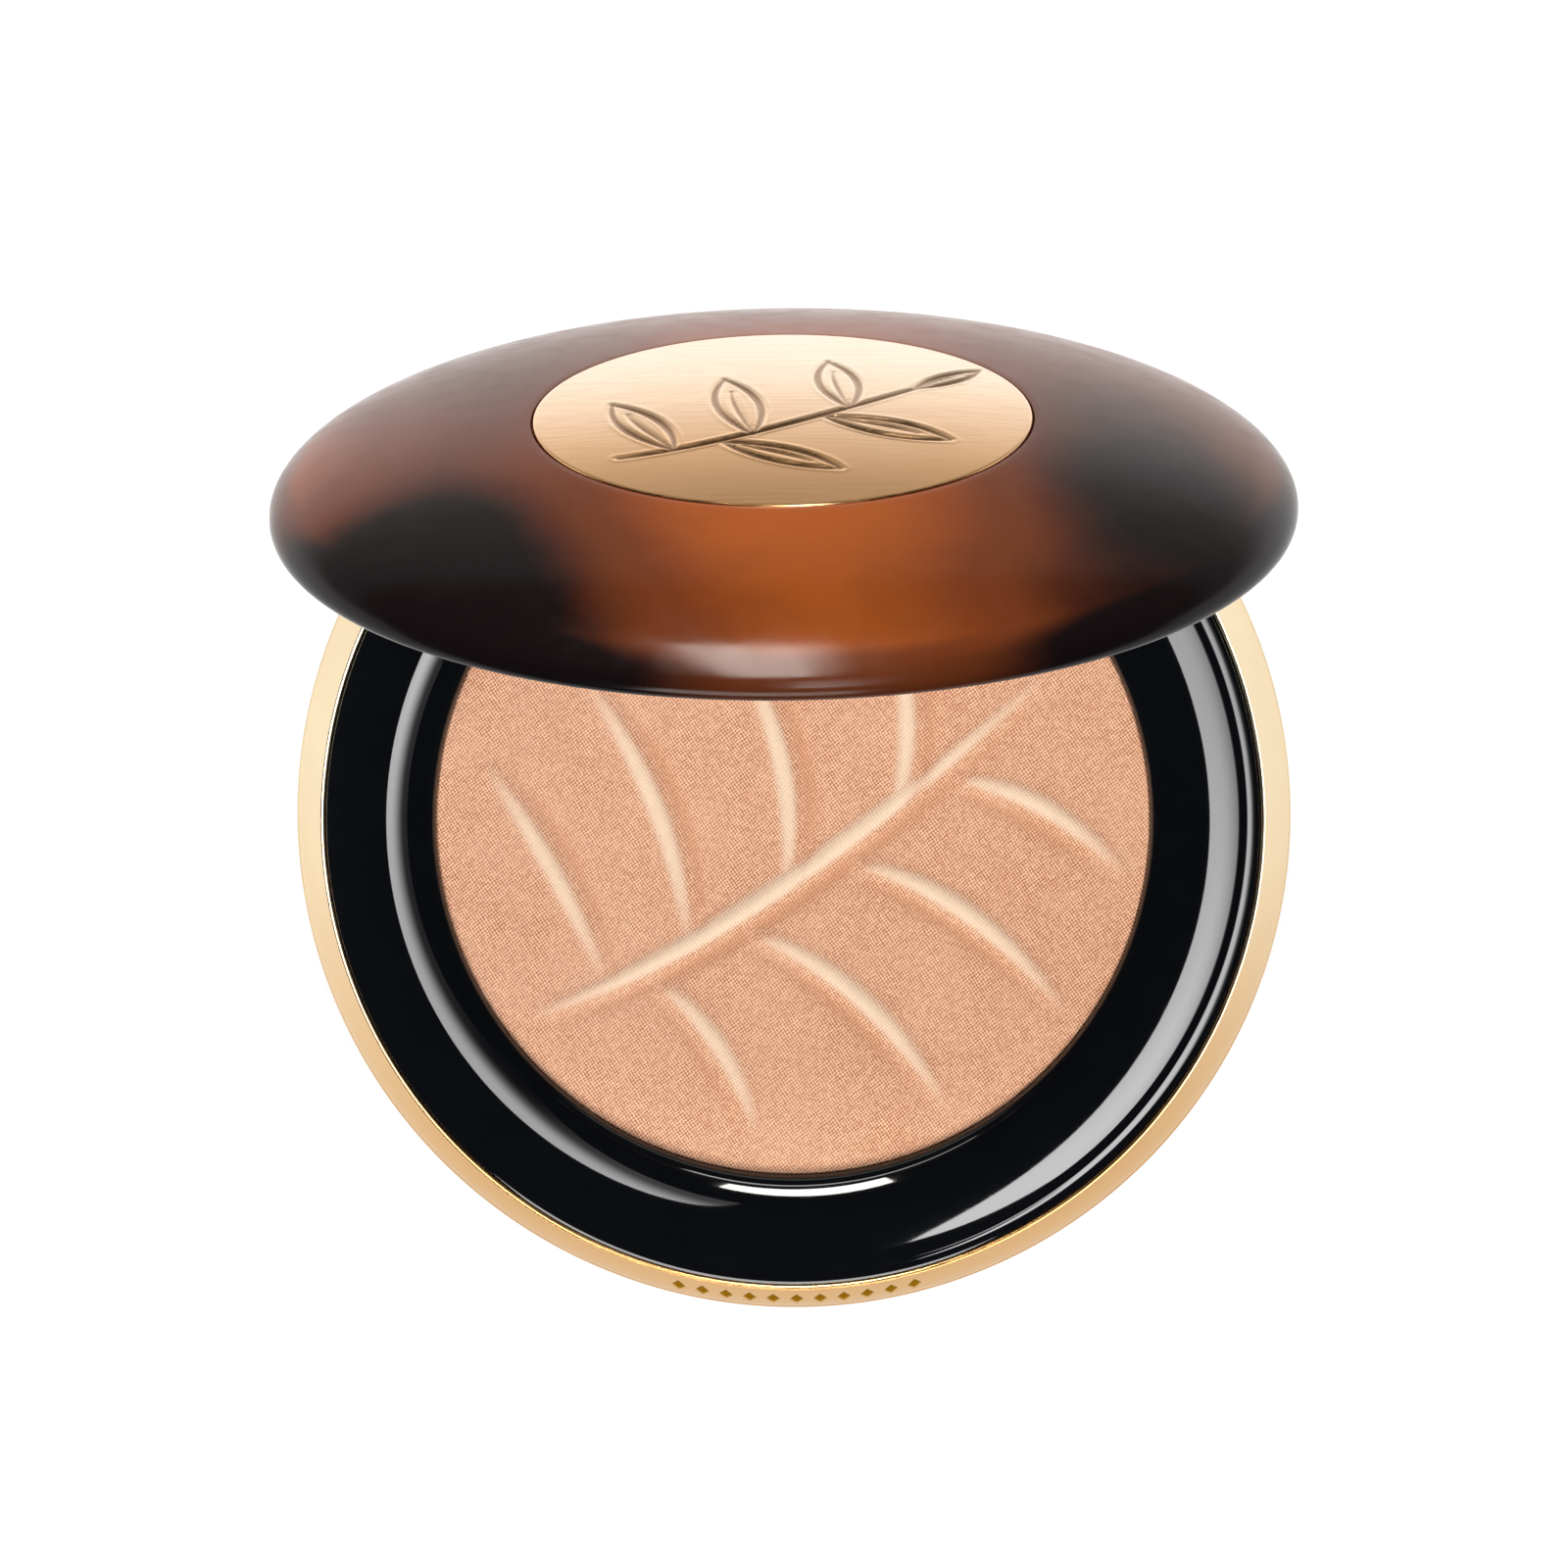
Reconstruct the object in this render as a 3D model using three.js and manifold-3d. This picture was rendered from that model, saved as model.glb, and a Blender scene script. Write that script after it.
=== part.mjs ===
// Pressed powder compact: a round case with a domed hinged lid, shown with the lid standing open.
// Millimetres. +Z is up, the hinge is at +Y and the front, where the lid lifts, is at -Y.
// The origin is the middle of the flat underside.
import * as THREE from 'three';
import { mergeVertices } from 'three/addons/utils/BufferGeometryUtils.js';
import Module from 'manifold-3d';

// --- Overall sizes ---
const caseRadius = 40.0; // widest radius of the lid and of the rim band
const baseHeight = 11.0; // underside to the top edge of the rim band
const bandHeight = 6.0; // height of the rim band
const bandInset = 2.5; // how far the band leans in from its widest edge to the frame
const frameWidth = 8.85; // width of the glossy frame around the powder
const domeHeight = 8.35; // rise of the lid's dome above its widest line
const openDegrees = 74; // how far the lid stands open
const stopDegrees = 130; // where the lid meets its stop

// --- Clearances ---
const fitGap = 0.1; // between pieces that are pressed or glued together
const partingGap = 0.3; // between the closed lid and the band
const swingGap = 0.3; // around parts of the hinge that turn
const pinGap = 0.15; // around the hinge pin
const emblemGap = 0.15; // around the emblem

// --- Base ---
const footInset = 12.5; // from the widest radius to the edge of the flat foot
const floorThickness = 1.8;
const shellWall = 1.6;
const spigotWall = 1.1;
const labelInset = 7.2; // from the edge of the foot to the label recess
const labelThickness = 0.3;
const weightThickness = 1.5;
const trayThickness = 1.2;
const bondThickness = 0.2;
const sheetThickness = 0.4; // tinplate of the godet
const lipCover = 0.85; // how far the frame covers the godet's edge
const powderDrop = 1.2; // powder surface below the band's top edge
const crownRise = 0.6; // crown of the frame above the band's top edge
const lipDepth = 0.4; // thickness of the frame's inner lip
const frameThickness = 1.1; // frame at its outer edge
const grooveDepth = 0.15;
const grooveWidth = 0.4;
const bandWall = 0.9;
const bandLand = 0.4; // flat top edge of the band
const stepHeight = 0.1; // rise of the pressed relief's middle disc

// --- Lid ---
const rimRise = 0.9; // lid's widest line above its bottom edge
const rimInset = 0.4; // rounding of the bottom edge
const lidWall = 1.45;
const emblemRadius = 19.35;
const emblemThickness = 0.8;
const emblemProud = 0.1; // edge of the emblem above the lid around it
const emblemCrown = 0.8; // middle of the emblem above its edge
const coverGap = 0.7; // parting plane to the face of the inner cover
const coverThickness = domeHeight * 0.1557; // the lid's inside gets shallower with its dome
const mirrorInset = 7.8; // from the widest radius to the edge of the mirror
const mirrorSink = 0.3;
const mirrorThickness = domeHeight * 0.1557;
const tapeThickness = 0.4;
const coverBack = domeHeight * 0.1437; // wall behind the mirror

// --- Hinge ---
const hingeInset = 2.7; // from the widest radius in to the hinge axis
const barrelRadius = 2.1;
const pinRadius = 0.7;
const knuckleHalf = 4.0; // half length of the lid's knuckle

// --- Magnets and bumpers ---
const magnetThickness = 1.5;
const magnetDegrees = 14; // either side of the front
const magnetSkin = 0.6; // plastic between a magnet and the open face
const bumperRadius = 1.2;
const bumperDegrees = 38;
const bumperProud = 0.35;
const bumperDepth = 0.65;

// --- Facets ---
const roundFacets = 60;
const smallFacets = 16;
const curveSteps = 5;
const reach = 20; // length of a cutter beyond what it cuts

// --- Radii that follow ---
const frameRadius = caseRadius - bandInset;
const openingRadius = frameRadius - frameWidth;
const godetRadius = openingRadius + lipCover;
const trayInner = godetRadius + 3 * fitGap;
const trayOuter = trayInner + trayThickness;
const skirtInner = trayOuter + fitGap;
const skirtOuter = skirtInner + trayThickness;
const footRadius = caseRadius - footInset;
const labelRadius = footRadius - labelInset - 3 * fitGap;
const trayFootOuter = footRadius - 1;
const trayFootInner = trayFootOuter - trayThickness;
const weightRadius = trayFootInner - 1;
const spigotTopOuter = frameRadius - 1.5 * fitGap;
const spigotTopInner = spigotTopOuter - spigotWall;
const mirrorRadius = caseRadius - mirrorInset;
const coverRadius = caseRadius - lidWall - 2 * fitGap;
const magnetRing = (skirtOuter + spigotTopInner) / 2;
const magnetRadius = ((spigotTopInner - skirtOuter) / 2) * 0.72;
const bossRadius = ((spigotTopInner - skirtOuter) / 2) * 0.92;

// --- Heights that follow ---
const shoulder = baseHeight - bandHeight;
const weightBottom = floorThickness + fitGap;
const trayBottom = weightBottom + weightThickness + fitGap;
const bondBottom = trayBottom + trayThickness + fitGap / 2;
const godetBottom = bondBottom + bondThickness + fitGap / 2;
const powderTop = baseHeight - powderDrop;
const lipBottom = powderTop - lipDepth;
const godetTop = lipBottom - fitGap;
const frameBottom = baseHeight - frameThickness;
const parting = baseHeight + partingGap;
const widest = parting + rimRise;
const coverFace = parting + coverGap;
const mirrorFace = coverFace + mirrorSink;
const mirrorBack = mirrorFace + mirrorThickness;
const tapeBottom = mirrorBack + fitGap / 2;
const coverFloor = tapeBottom + tapeThickness + fitGap / 2;
const coverTop = coverFloor + coverBack;
const hingeY = caseRadius - hingeInset;
const hingeZ = parting;
const rimRadius = caseRadius - rimInset;

// --- Hinge notch: wide enough that the rim beside it stays in front of the axis ---
const notchHalf = Math.sqrt(rimRadius ** 2 - hingeY ** 2);
const earEnd = notchHalf - swingGap - fitGap;
const earStart = knuckleHalf + swingGap;
const notchFront = hingeY - barrelRadius - swingGap;
const lidNotchTop = hingeZ + barrelRadius + swingGap + 2 * fitGap;
const lipRadius = caseRadius * Math.sqrt(1 - ((lidNotchTop - widest) / domeHeight) ** 2);
const lipReach = Math.hypot(lipRadius - hingeY, lidNotchTop - hingeZ);
const lipTurn = Math.atan2(lidNotchTop - hingeZ, lipRadius - hingeY);
const stopTurn = THREE.MathUtils.degToRad(stopDegrees) - lipTurn;
const notchFloor = hingeZ - lipReach * Math.sin(Math.min(stopTurn, Math.PI / 2));

const wasm = await Module();
wasm.setup();

// --- Materials ---
function material(color, roughness, metalness) {
  return new THREE.MeshStandardMaterial({ color, roughness, metalness });
}

const tortoise = () => material(0x5a2c14, 0.35, 0.0);
const champagne = () => material(0xdcc39a, 0.28, 1.0);
const blackGloss = () => material(0x0b0b0d, 0.12, 0.0);
const blackSatin = () => material(0x17171a, 0.45, 0.0);
const peachPowder = () => material(0xe6b08c, 0.9, 0.0);
const tinplate = () => material(0xb9bcc0, 0.35, 1.0);
const steel = () => material(0x9da1a6, 0.4, 1.0);
const nickel = () => material(0xc2c4c8, 0.25, 1.0);
const mirrorGlass = () => material(0xe6ebee, 0.04, 1.0);
const whiteTape = () => material(0xe8e6e0, 0.8, 0.0);
const clearGlue = () => material(0xd9d2bc, 0.5, 0.0);
const paper = () => material(0xc9c2b4, 0.7, 0.0);
const clearPad = () => material(0xcfd2d4, 0.5, 0.0);

// --- Geometry helpers ---
function turned(profile, facets) {
  const points = profile.map(([radius, height]) => new THREE.Vector2(radius, height));
  const geometry = new THREE.LatheGeometry(points, facets);
  return geometry.rotateX(Math.PI / 2);
}

function ring(profile, facets = roundFacets) {
  return turned([...profile, profile[0]], facets);
}

function disc(radius, bottom, top, facets = roundFacets) {
  return turned([[0, bottom], [radius, bottom], [radius, top], [0, top]], facets);
}

function box(x0, x1, y0, y1, z0, z1) {
  const geometry = new THREE.BoxGeometry(x1 - x0, y1 - y0, z1 - z0);
  return geometry.translate((x0 + x1) / 2, (y0 + y1) / 2, (z0 + z1) / 2);
}

function rodX(radius, x0, x1) {
  const geometry = new THREE.CylinderGeometry(radius, radius, x1 - x0, smallFacets);
  return geometry.rotateZ(Math.PI / 2).translate((x0 + x1) / 2, hingeY, hingeZ);
}

function rodZ(radius, ringRadius, degrees, bottom, top) {
  const turn = THREE.MathUtils.degToRad(degrees);
  const geometry = new THREE.CylinderGeometry(radius, radius, top - bottom, smallFacets);
  geometry.rotateX(Math.PI / 2);
  return geometry.translate(ringRadius * Math.sin(turn), -ringRadius * Math.cos(turn), (bottom + top) / 2);
}

function toSolid(geometry) {
  const bare = geometry.clone();
  bare.deleteAttribute('normal');
  bare.deleteAttribute('uv');
  const joined = mergeVertices(bare, 1e-5);
  const vertProperties = new Float32Array(joined.attributes.position.array);
  const triVerts = new Uint32Array(joined.index.array);
  return new wasm.Manifold(new wasm.Mesh({ numProp: 3, vertProperties, triVerts }));
}

function fromSolid(solid) {
  const mesh = solid.getMesh();
  const geometry = new THREE.BufferGeometry();
  geometry.setAttribute('position', new THREE.BufferAttribute(new Float32Array(mesh.vertProperties), 3));
  geometry.setIndex(new THREE.BufferAttribute(new Uint32Array(mesh.triVerts), 1));
  geometry.computeVertexNormals();
  return geometry;
}

function carve(body, added, removed) {
  let solid = toSolid(body);
  for (const piece of added) {
    solid = solid.add(toSolid(piece));
  }
  for (const piece of removed) {
    solid = solid.subtract(toSolid(piece));
  }
  return fromSolid(solid);
}

function arc(fromPoint, toPoint, startsUpright) {
  // Quarter ellipse between two points; it leaves the first one upright or level.
  const points = [];
  for (let step = 0; step <= curveSteps; step += 1) {
    const turn = (step / curveSteps) * (Math.PI / 2);
    const slow = 1 - Math.cos(turn);
    const fast = Math.sin(turn);
    const alongR = startsUpright ? slow : fast;
    const alongZ = startsUpright ? fast : slow;
    points.push([
      fromPoint[0] + (toPoint[0] - fromPoint[0]) * alongR,
      fromPoint[1] + (toPoint[1] - fromPoint[1]) * alongZ,
    ]);
  }
  return points;
}

function dome(radius, rise, fromRadius, toRadius, steps) {
  // Points on the dome's ellipse, whose widest circle lies in the lid's widest plane.
  const fromTurn = Math.acos(fromRadius / radius);
  const toTurn = Math.acos(toRadius / radius);
  const points = [];
  for (let step = 0; step <= steps; step += 1) {
    const turn = fromTurn + ((toTurn - fromTurn) * step) / steps;
    points.push([radius * Math.cos(turn), widest + rise * Math.sin(turn)]);
  }
  return points;
}

// --- Base pieces ---
function baseShell() {
  const innerWide = caseRadius - fitGap - shellWall - spigotWall;
  const outer = arc([footRadius, 0], [caseRadius - 2 * fitGap, shoulder - fitGap], false);
  const inner = arc([innerWide, shoulder + 4 * fitGap], [footRadius - 0.5, floorThickness], true);
  const body = turned([
    [0, labelThickness + fitGap],
    [labelRadius + 3 * fitGap, labelThickness + fitGap],
    [labelRadius + 3 * fitGap, 0],
    ...outer,
    [caseRadius - bandWall - 2 * fitGap, shoulder - fitGap],
    [caseRadius - bandWall - 2 * fitGap - 0.6, shoulder + bandHeight * 0.6],
    [spigotTopOuter, frameBottom - fitGap],
    [spigotTopInner, frameBottom - fitGap],
    [innerWide - 0.4, shoulder + bandHeight * 0.5],
    ...inner,
    [0, floorThickness],
  ], roundFacets);
  const notch = box(-notchHalf, notchHalf, notchFront - reach, caseRadius + reach, notchFloor - 2 * fitGap,
    baseHeight + reach);
  return carve(body, [], [notch]);
}

function rimBand() {
  const outer = arc([caseRadius, shoulder], [frameRadius + bandLand, baseHeight], true);
  const body = ring([
    ...outer,
    [frameRadius, baseHeight],
    [frameRadius, frameBottom + 2 * fitGap],
    [caseRadius - bandWall - 0.6, shoulder + bandHeight * 0.62],
    [caseRadius - bandWall, shoulder],
  ]);
  const notch = box(-notchHalf, notchHalf, notchFront - reach, caseRadius + reach, notchFloor,
    baseHeight + reach);
  return carve(body, [], [notch]);
}

function frameProfile() {
  // Crown of the glossy frame: easing down outwards, rolling steeply down to the powder inwards.
  const crownRadius = openingRadius + frameWidth * 0.525;
  const crownTop = baseHeight + crownRise;
  const edge = frameRadius - fitGap;
  const shoulderRadius = edge - 2 * grooveWidth - 0.1;
  return [
    [openingRadius, lipBottom],
    [skirtInner, lipBottom],
    [skirtInner, lipBottom - trayThickness],
    [skirtOuter, lipBottom - trayThickness],
    [skirtOuter, frameBottom],
    [edge, frameBottom],
    [edge, baseHeight - 0.05],
    [edge - 0.2, baseHeight],
    [edge - grooveWidth, baseHeight],
    [edge - 1.5 * grooveWidth, baseHeight - grooveDepth],
    [shoulderRadius, baseHeight + crownRise * 0.3],
    [(shoulderRadius + crownRadius) / 2, baseHeight + crownRise * 0.82],
    [crownRadius, crownTop],
    [openingRadius + frameWidth * 0.3, crownTop - crownRise * 0.18],
    [openingRadius + frameWidth * 0.18, baseHeight + crownRise * 0.35],
    [openingRadius + frameWidth * 0.07, powderTop + 0.85],
    [openingRadius, powderTop + 0.15],
  ];
}

function panFrame() {
  const added = [];
  const removed = [];
  for (const side of [-1, 1]) {
    const x0 = side > 0 ? earStart : -earEnd;
    const x1 = side > 0 ? earEnd : -earStart;
    added.push(rodX(barrelRadius, x0, x1));
    added.push(box(x0, x1, notchFront - 1.5, hingeY, hingeZ - barrelRadius, baseHeight));
    const pocketTop = baseHeight - magnetSkin;
    const pocketBottom = pocketTop - magnetThickness - fitGap;
    const degrees = side * magnetDegrees;
    added.push(rodZ(bossRadius, magnetRing, degrees, pocketBottom, frameBottom + fitGap));
    removed.push(rodZ(magnetRadius + fitGap, magnetRing, degrees, pocketBottom - reach, pocketTop));
  }
  removed.push(box(-earStart, earStart, notchFront, caseRadius + reach, 0, baseHeight + reach));
  removed.push(rodX(pinRadius + pinGap, -earEnd - 1, earEnd + 1));
  return carve(ring(frameProfile()), added, removed);
}

function baseMagnet(side) {
  const top = baseHeight - magnetSkin - fitGap;
  return rodZ(magnetRadius, magnetRing, side * magnetDegrees, top - magnetThickness, top);
}

function panTray() {
  return turned([
    [0, trayBottom],
    [trayFootInner, trayBottom],
    [trayFootInner, weightBottom],
    [trayFootOuter, weightBottom],
    [trayFootOuter, trayBottom],
    [trayOuter, trayBottom],
    [trayOuter, godetTop],
    [trayInner, godetTop],
    [trayInner, trayBottom + trayThickness],
    [0, trayBottom + trayThickness],
  ], roundFacets);
}

function godet() {
  const wall = godetRadius - sheetThickness;
  return turned([
    [0, godetBottom],
    [godetRadius - 0.5, godetBottom],
    [godetRadius, godetBottom + 0.5],
    [godetRadius, godetTop],
    [wall, godetTop],
    [wall, godetBottom + sheetThickness + 0.2],
    [wall - 0.2, godetBottom + sheetThickness],
    [0, godetBottom + sheetThickness],
  ], roundFacets);
}

function powderCake() {
  const wall = godetRadius - sheetThickness - fitGap;
  const bottom = godetBottom + sheetThickness + fitGap;
  return turned([
    [0, bottom],
    [wall - 0.3, bottom],
    [wall, bottom + 0.3],
    [wall, godetTop],
    [openingRadius - fitGap, godetTop],
    [openingRadius - fitGap, powderTop],
    [openingRadius * 0.93, powderTop + stepHeight],
    [0, powderTop + stepHeight],
  ], roundFacets);
}

// --- Lid pieces, drawn with the lid closed ---
const emblemRecess = emblemRadius + emblemGap;
const emblemEdge = dome(caseRadius, domeHeight, emblemRecess, emblemRecess, 1)[0][1];
const emblemBottom = emblemEdge + emblemProud - emblemThickness;
const recessFloor = emblemBottom - bondThickness - fitGap;
const insideTop = recessFloor - lidWall;

function lidNotch() {
  return box(-notchHalf, notchHalf, notchFront, caseRadius + reach, 0, lidNotchTop);
}

function lidShell() {
  const insideRadius = caseRadius - lidWall;
  const insideRise = domeHeight - lidWall;
  const flatRadius = insideRadius * Math.sqrt(1 - ((insideTop - widest) / insideRise) ** 2);
  const body = turned([
    [0, insideTop],
    ...dome(insideRadius, insideRise, flatRadius, insideRadius, 5),
    [insideRadius, parting],
    [rimRadius, parting],
    [caseRadius - rimInset * 0.25, widest - rimRise * 0.55],
    ...dome(caseRadius, domeHeight, caseRadius, emblemRecess, 9),
    [emblemRecess, recessFloor],
    [0, recessFloor],
  ], roundFacets);
  return carve(body, [], [lidNotch()]);
}

function emblemDisc() {
  const edge = emblemBottom + emblemThickness;
  return turned([
    [0, emblemBottom],
    [emblemRadius, emblemBottom],
    [emblemRadius, edge - 0.15],
    [emblemRadius - 0.15, edge],
    [emblemRadius * 0.75, edge + emblemCrown * 0.44],
    [emblemRadius * 0.5, edge + emblemCrown * 0.75],
    [emblemRadius * 0.25, edge + emblemCrown * 0.94],
    [0, edge + emblemCrown],
  ], roundFacets);
}

function mirrorFrame() {
  const recess = mirrorRadius + 2 * fitGap;
  const bossTop = coverFace + magnetSkin + magnetThickness - fitGap;
  const body = turned([
    [0, coverFloor],
    [recess, coverFloor],
    [recess, coverFace],
    [coverRadius - 0.2, coverFace],
    [coverRadius, coverFace + 0.2],
    [coverRadius - 0.5, coverFace + coverThickness],
    [recess + 1.5, coverFace + coverThickness],
    [recess + 1.5, coverTop - 0.7],
    [recess + 0.8, coverTop],
    [0, coverTop],
  ], roundFacets);
  const web = box(-knuckleHalf, knuckleHalf, notchFront - 1.5, hingeY, coverFace + fitGap / 2,
    coverFace + coverThickness);
  const added = [rodX(barrelRadius, -knuckleHalf, knuckleHalf), web];
  const removed = [rodX(pinRadius + pinGap, -knuckleHalf - 1, knuckleHalf + 1)];
  for (const side of [-1, 1]) {
    const degrees = side * magnetDegrees;
    const pad = side * bumperDegrees;
    const pocket = coverFace + magnetSkin;
    added.push(rodZ(bossRadius, magnetRing, degrees, coverFace + fitGap, bossTop));
    removed.push(rodZ(magnetRadius + fitGap, magnetRing, degrees, pocket, pocket + reach));
    removed.push(rodZ(bumperRadius + fitGap, bumperRing(), pad, coverFace - reach, coverFace + bumperDepth));
  }
  const notched = carve(body, [], [lidNotch()]);
  return carve(notched, added, removed);
}

function lidMagnet(side) {
  const bottom = coverFace + magnetSkin + fitGap;
  return rodZ(magnetRadius, magnetRing, side * magnetDegrees, bottom, bottom + magnetThickness);
}

function bumperRing() {
  return (mirrorRadius + coverRadius) / 2;
}

function bumper(side) {
  const top = coverFace + bumperDepth - fitGap;
  return rodZ(bumperRadius, bumperRing(), side * bumperDegrees, coverFace - bumperProud, top);
}

// --- Assembly ---
function place(group, name, geometry, finish) {
  const mesh = new THREE.Mesh(geometry, finish);
  mesh.name = name;
  group.add(mesh);
}

function buildBase() {
  const base = new THREE.Group();
  base.name = 'base';
  place(base, 'base_shell', baseShell(), tortoise());
  place(base, 'rim_band', rimBand(), champagne());
  place(base, 'pan_frame', panFrame(), blackGloss());
  place(base, 'pan_tray', panTray(), blackSatin());
  place(base, 'godet', godet(), tinplate());
  place(base, 'godet_adhesive', disc(godetRadius * 0.7, bondBottom, bondBottom + bondThickness), clearGlue());
  place(base, 'powder_cake', powderCake(), peachPowder());
  const weight = disc(weightRadius, weightBottom, weightBottom + weightThickness);
  place(base, 'weight_plate', weight, steel());
  place(base, 'underside_label', disc(labelRadius, 0, labelThickness), paper());
  place(base, 'base_magnet_left', baseMagnet(-1), nickel());
  place(base, 'base_magnet_right', baseMagnet(1), nickel());
  place(base, 'hinge_pin', rodX(pinRadius, -earEnd + fitGap, earEnd - fitGap), steel());
  return base;
}

function buildLid() {
  const closed = new THREE.Group();
  closed.name = 'lid_closed';
  place(closed, 'lid_shell', lidShell(), tortoise());
  place(closed, 'emblem_disc', emblemDisc(), champagne());
  const emblemBond = disc(emblemRadius * 0.9, recessFloor + fitGap / 2, recessFloor + fitGap / 2 + bondThickness);
  place(closed, 'emblem_adhesive', emblemBond, clearGlue());
  place(closed, 'mirror_frame', mirrorFrame(), blackSatin());
  place(closed, 'mirror', disc(mirrorRadius, mirrorFace, mirrorBack), mirrorGlass());
  const tape = disc(mirrorRadius * 0.9, tapeBottom, tapeBottom + tapeThickness);
  place(closed, 'mirror_tape', tape, whiteTape());
  place(closed, 'lid_magnet_left', lidMagnet(-1), nickel());
  place(closed, 'lid_magnet_right', lidMagnet(1), nickel());
  place(closed, 'bumper_left', bumper(-1), clearPad());
  place(closed, 'bumper_right', bumper(1), clearPad());
  closed.position.set(0, -hingeY, -hingeZ);
  const lid = new THREE.Group();
  lid.name = 'lid';
  lid.add(closed);
  lid.position.set(0, hingeY, hingeZ);
  lid.rotation.x = -THREE.MathUtils.degToRad(openDegrees);
  return lid;
}

const compact = new THREE.Group();
compact.name = 'powder_compact';
compact.add(buildBase());
compact.add(buildLid());
export default compact;
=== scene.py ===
"""Looks of a round powder compact: tortoise case, pale gold band, glossy frame, pressed powder, domed lid.

Sizes are millimetres in the case's own frame: +Z up, -Y the front, +Y the hinge, the origin in the middle
of the flat underside. Lid pieces are worked out with the lid closed and then turned open about the hinge.
"""
import logging
import math
from dataclasses import dataclass, field
from enum import Enum
from typing import Optional, Sequence

import bmesh
import bpy
import numpy as np
from mathutils import Matrix, Vector


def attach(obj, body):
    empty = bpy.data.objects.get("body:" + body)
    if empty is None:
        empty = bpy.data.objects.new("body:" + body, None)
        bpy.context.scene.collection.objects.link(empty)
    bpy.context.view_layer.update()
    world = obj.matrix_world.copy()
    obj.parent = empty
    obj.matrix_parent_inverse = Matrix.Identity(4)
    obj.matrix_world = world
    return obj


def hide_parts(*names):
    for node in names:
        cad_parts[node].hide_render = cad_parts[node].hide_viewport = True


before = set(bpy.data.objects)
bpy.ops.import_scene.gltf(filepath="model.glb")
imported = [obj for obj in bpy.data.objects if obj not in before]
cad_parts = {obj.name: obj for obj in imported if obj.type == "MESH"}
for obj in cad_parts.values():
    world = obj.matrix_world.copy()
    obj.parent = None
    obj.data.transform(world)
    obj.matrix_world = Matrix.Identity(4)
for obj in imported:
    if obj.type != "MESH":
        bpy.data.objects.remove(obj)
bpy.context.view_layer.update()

LOG = logging.getLogger("powder_compact")
MM = 0.001
CASE_RADIUS = 40.0
BAND_TOP = 11.0
HINGE_Y = 37.3
HINGE_Z = 11.3
LID_WIDEST = 12.2
LID_RISE = 8.35
OPEN_TURN = math.radians(74.0)
NOTCH_TURN = math.radians(20.6)
NOTCH_FRONT = 34.9
ROUND = 288
SHARP_TURN = math.radians(38)
Colour = tuple[float, float, float]
TANNED: Colour = (0.5, 0.3, 0.14)


class Body(Enum):
    """Rigid bodies of the case."""

    BASE = "base"
    LID = "lid"


# ---------------------------------------------------------------------------------------------------------
# Surfaces
# ---------------------------------------------------------------------------------------------------------
def opened(points: np.ndarray) -> np.ndarray:
    """Turn points of the closed lid to its open rest.

    Formula: about the hinge axis, y' = y cos a + z sin a and z' = z cos a - y sin a.

    Args:
        points: Closed-lid points, one row each, in millimetres.

    Returns:
        The points with the lid open.
    """
    y, z = points[:, 1] - HINGE_Y, points[:, 2] - HINGE_Z
    return np.c_[points[:, 0], y * math.cos(OPEN_TURN) + z * math.sin(OPEN_TURN) + HINGE_Y,
                 z * math.cos(OPEN_TURN) - y * math.sin(OPEN_TURN) + HINGE_Z]


def bend(start: Sequence[float], middle: Sequence[float], stop: Sequence[float],
         steps: int = 20) -> np.ndarray:
    """Quadratic curve: (1-t)^2 start + 2t(1-t) middle + t^2 stop.

    Args:
        start: First point.
        middle: Control point.
        stop: Last point.
        steps: Number of pieces.

    Returns:
        The points.
    """
    t = np.linspace(0, 1, steps + 1)[:, None]
    return (1 - t) ** 2 * np.array(start) + 2 * t * (1 - t) * np.array(middle) + t ** 2 * np.array(stop)


def fillet(points: Sequence[Sequence[float]], radius: float, steps: int = 4) -> np.ndarray:
    """Round the corners of an open profile.

    Formula: each corner between the two ends becomes a quadratic curve between the points `radius` before
    and after it, with the corner as its control point; a short side limits the radius to 0.4 of its length.

    Args:
        points: Profile corners as (radius, height).
        radius: Distance from a corner at which its rounding starts.
        steps: Pieces per rounding.

    Returns:
        The rounded profile.
    """
    corners = np.asarray(points, float)
    out = [corners[:1]]
    for last, here, coming in zip(corners, corners[1:], corners[2:]):
        back, ahead = last - here, coming - here
        start = here + back * min(radius / np.linalg.norm(back), 0.4)
        stop = here + ahead * min(radius / np.linalg.norm(ahead), 0.4)
        out.append(bend(start, here, stop, steps))
    out.append(corners[-1:])
    return np.vstack(out)


def quarter(start: Sequence[float], stop: Sequence[float], upright: bool, steps: int) -> np.ndarray:
    """Quarter ellipse from start to stop.

    Formula: one coordinate goes with the sine of a quarter turn and the other with one minus its cosine.

    Args:
        start: First (radius, height).
        stop: Last (radius, height).
        upright: Whether it leaves the start upright rather than level.
        steps: Number of pieces.

    Returns:
        The points, both ends among them.
    """
    turn = np.linspace(0.0, math.pi / 2, steps + 1)
    slow, fast = 1 - np.cos(turn), np.sin(turn)
    along_r, along_z = (slow, fast) if upright else (fast, slow)
    return np.c_[start[0] + (stop[0] - start[0]) * along_r, start[1] + (stop[1] - start[1]) * along_z]


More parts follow.
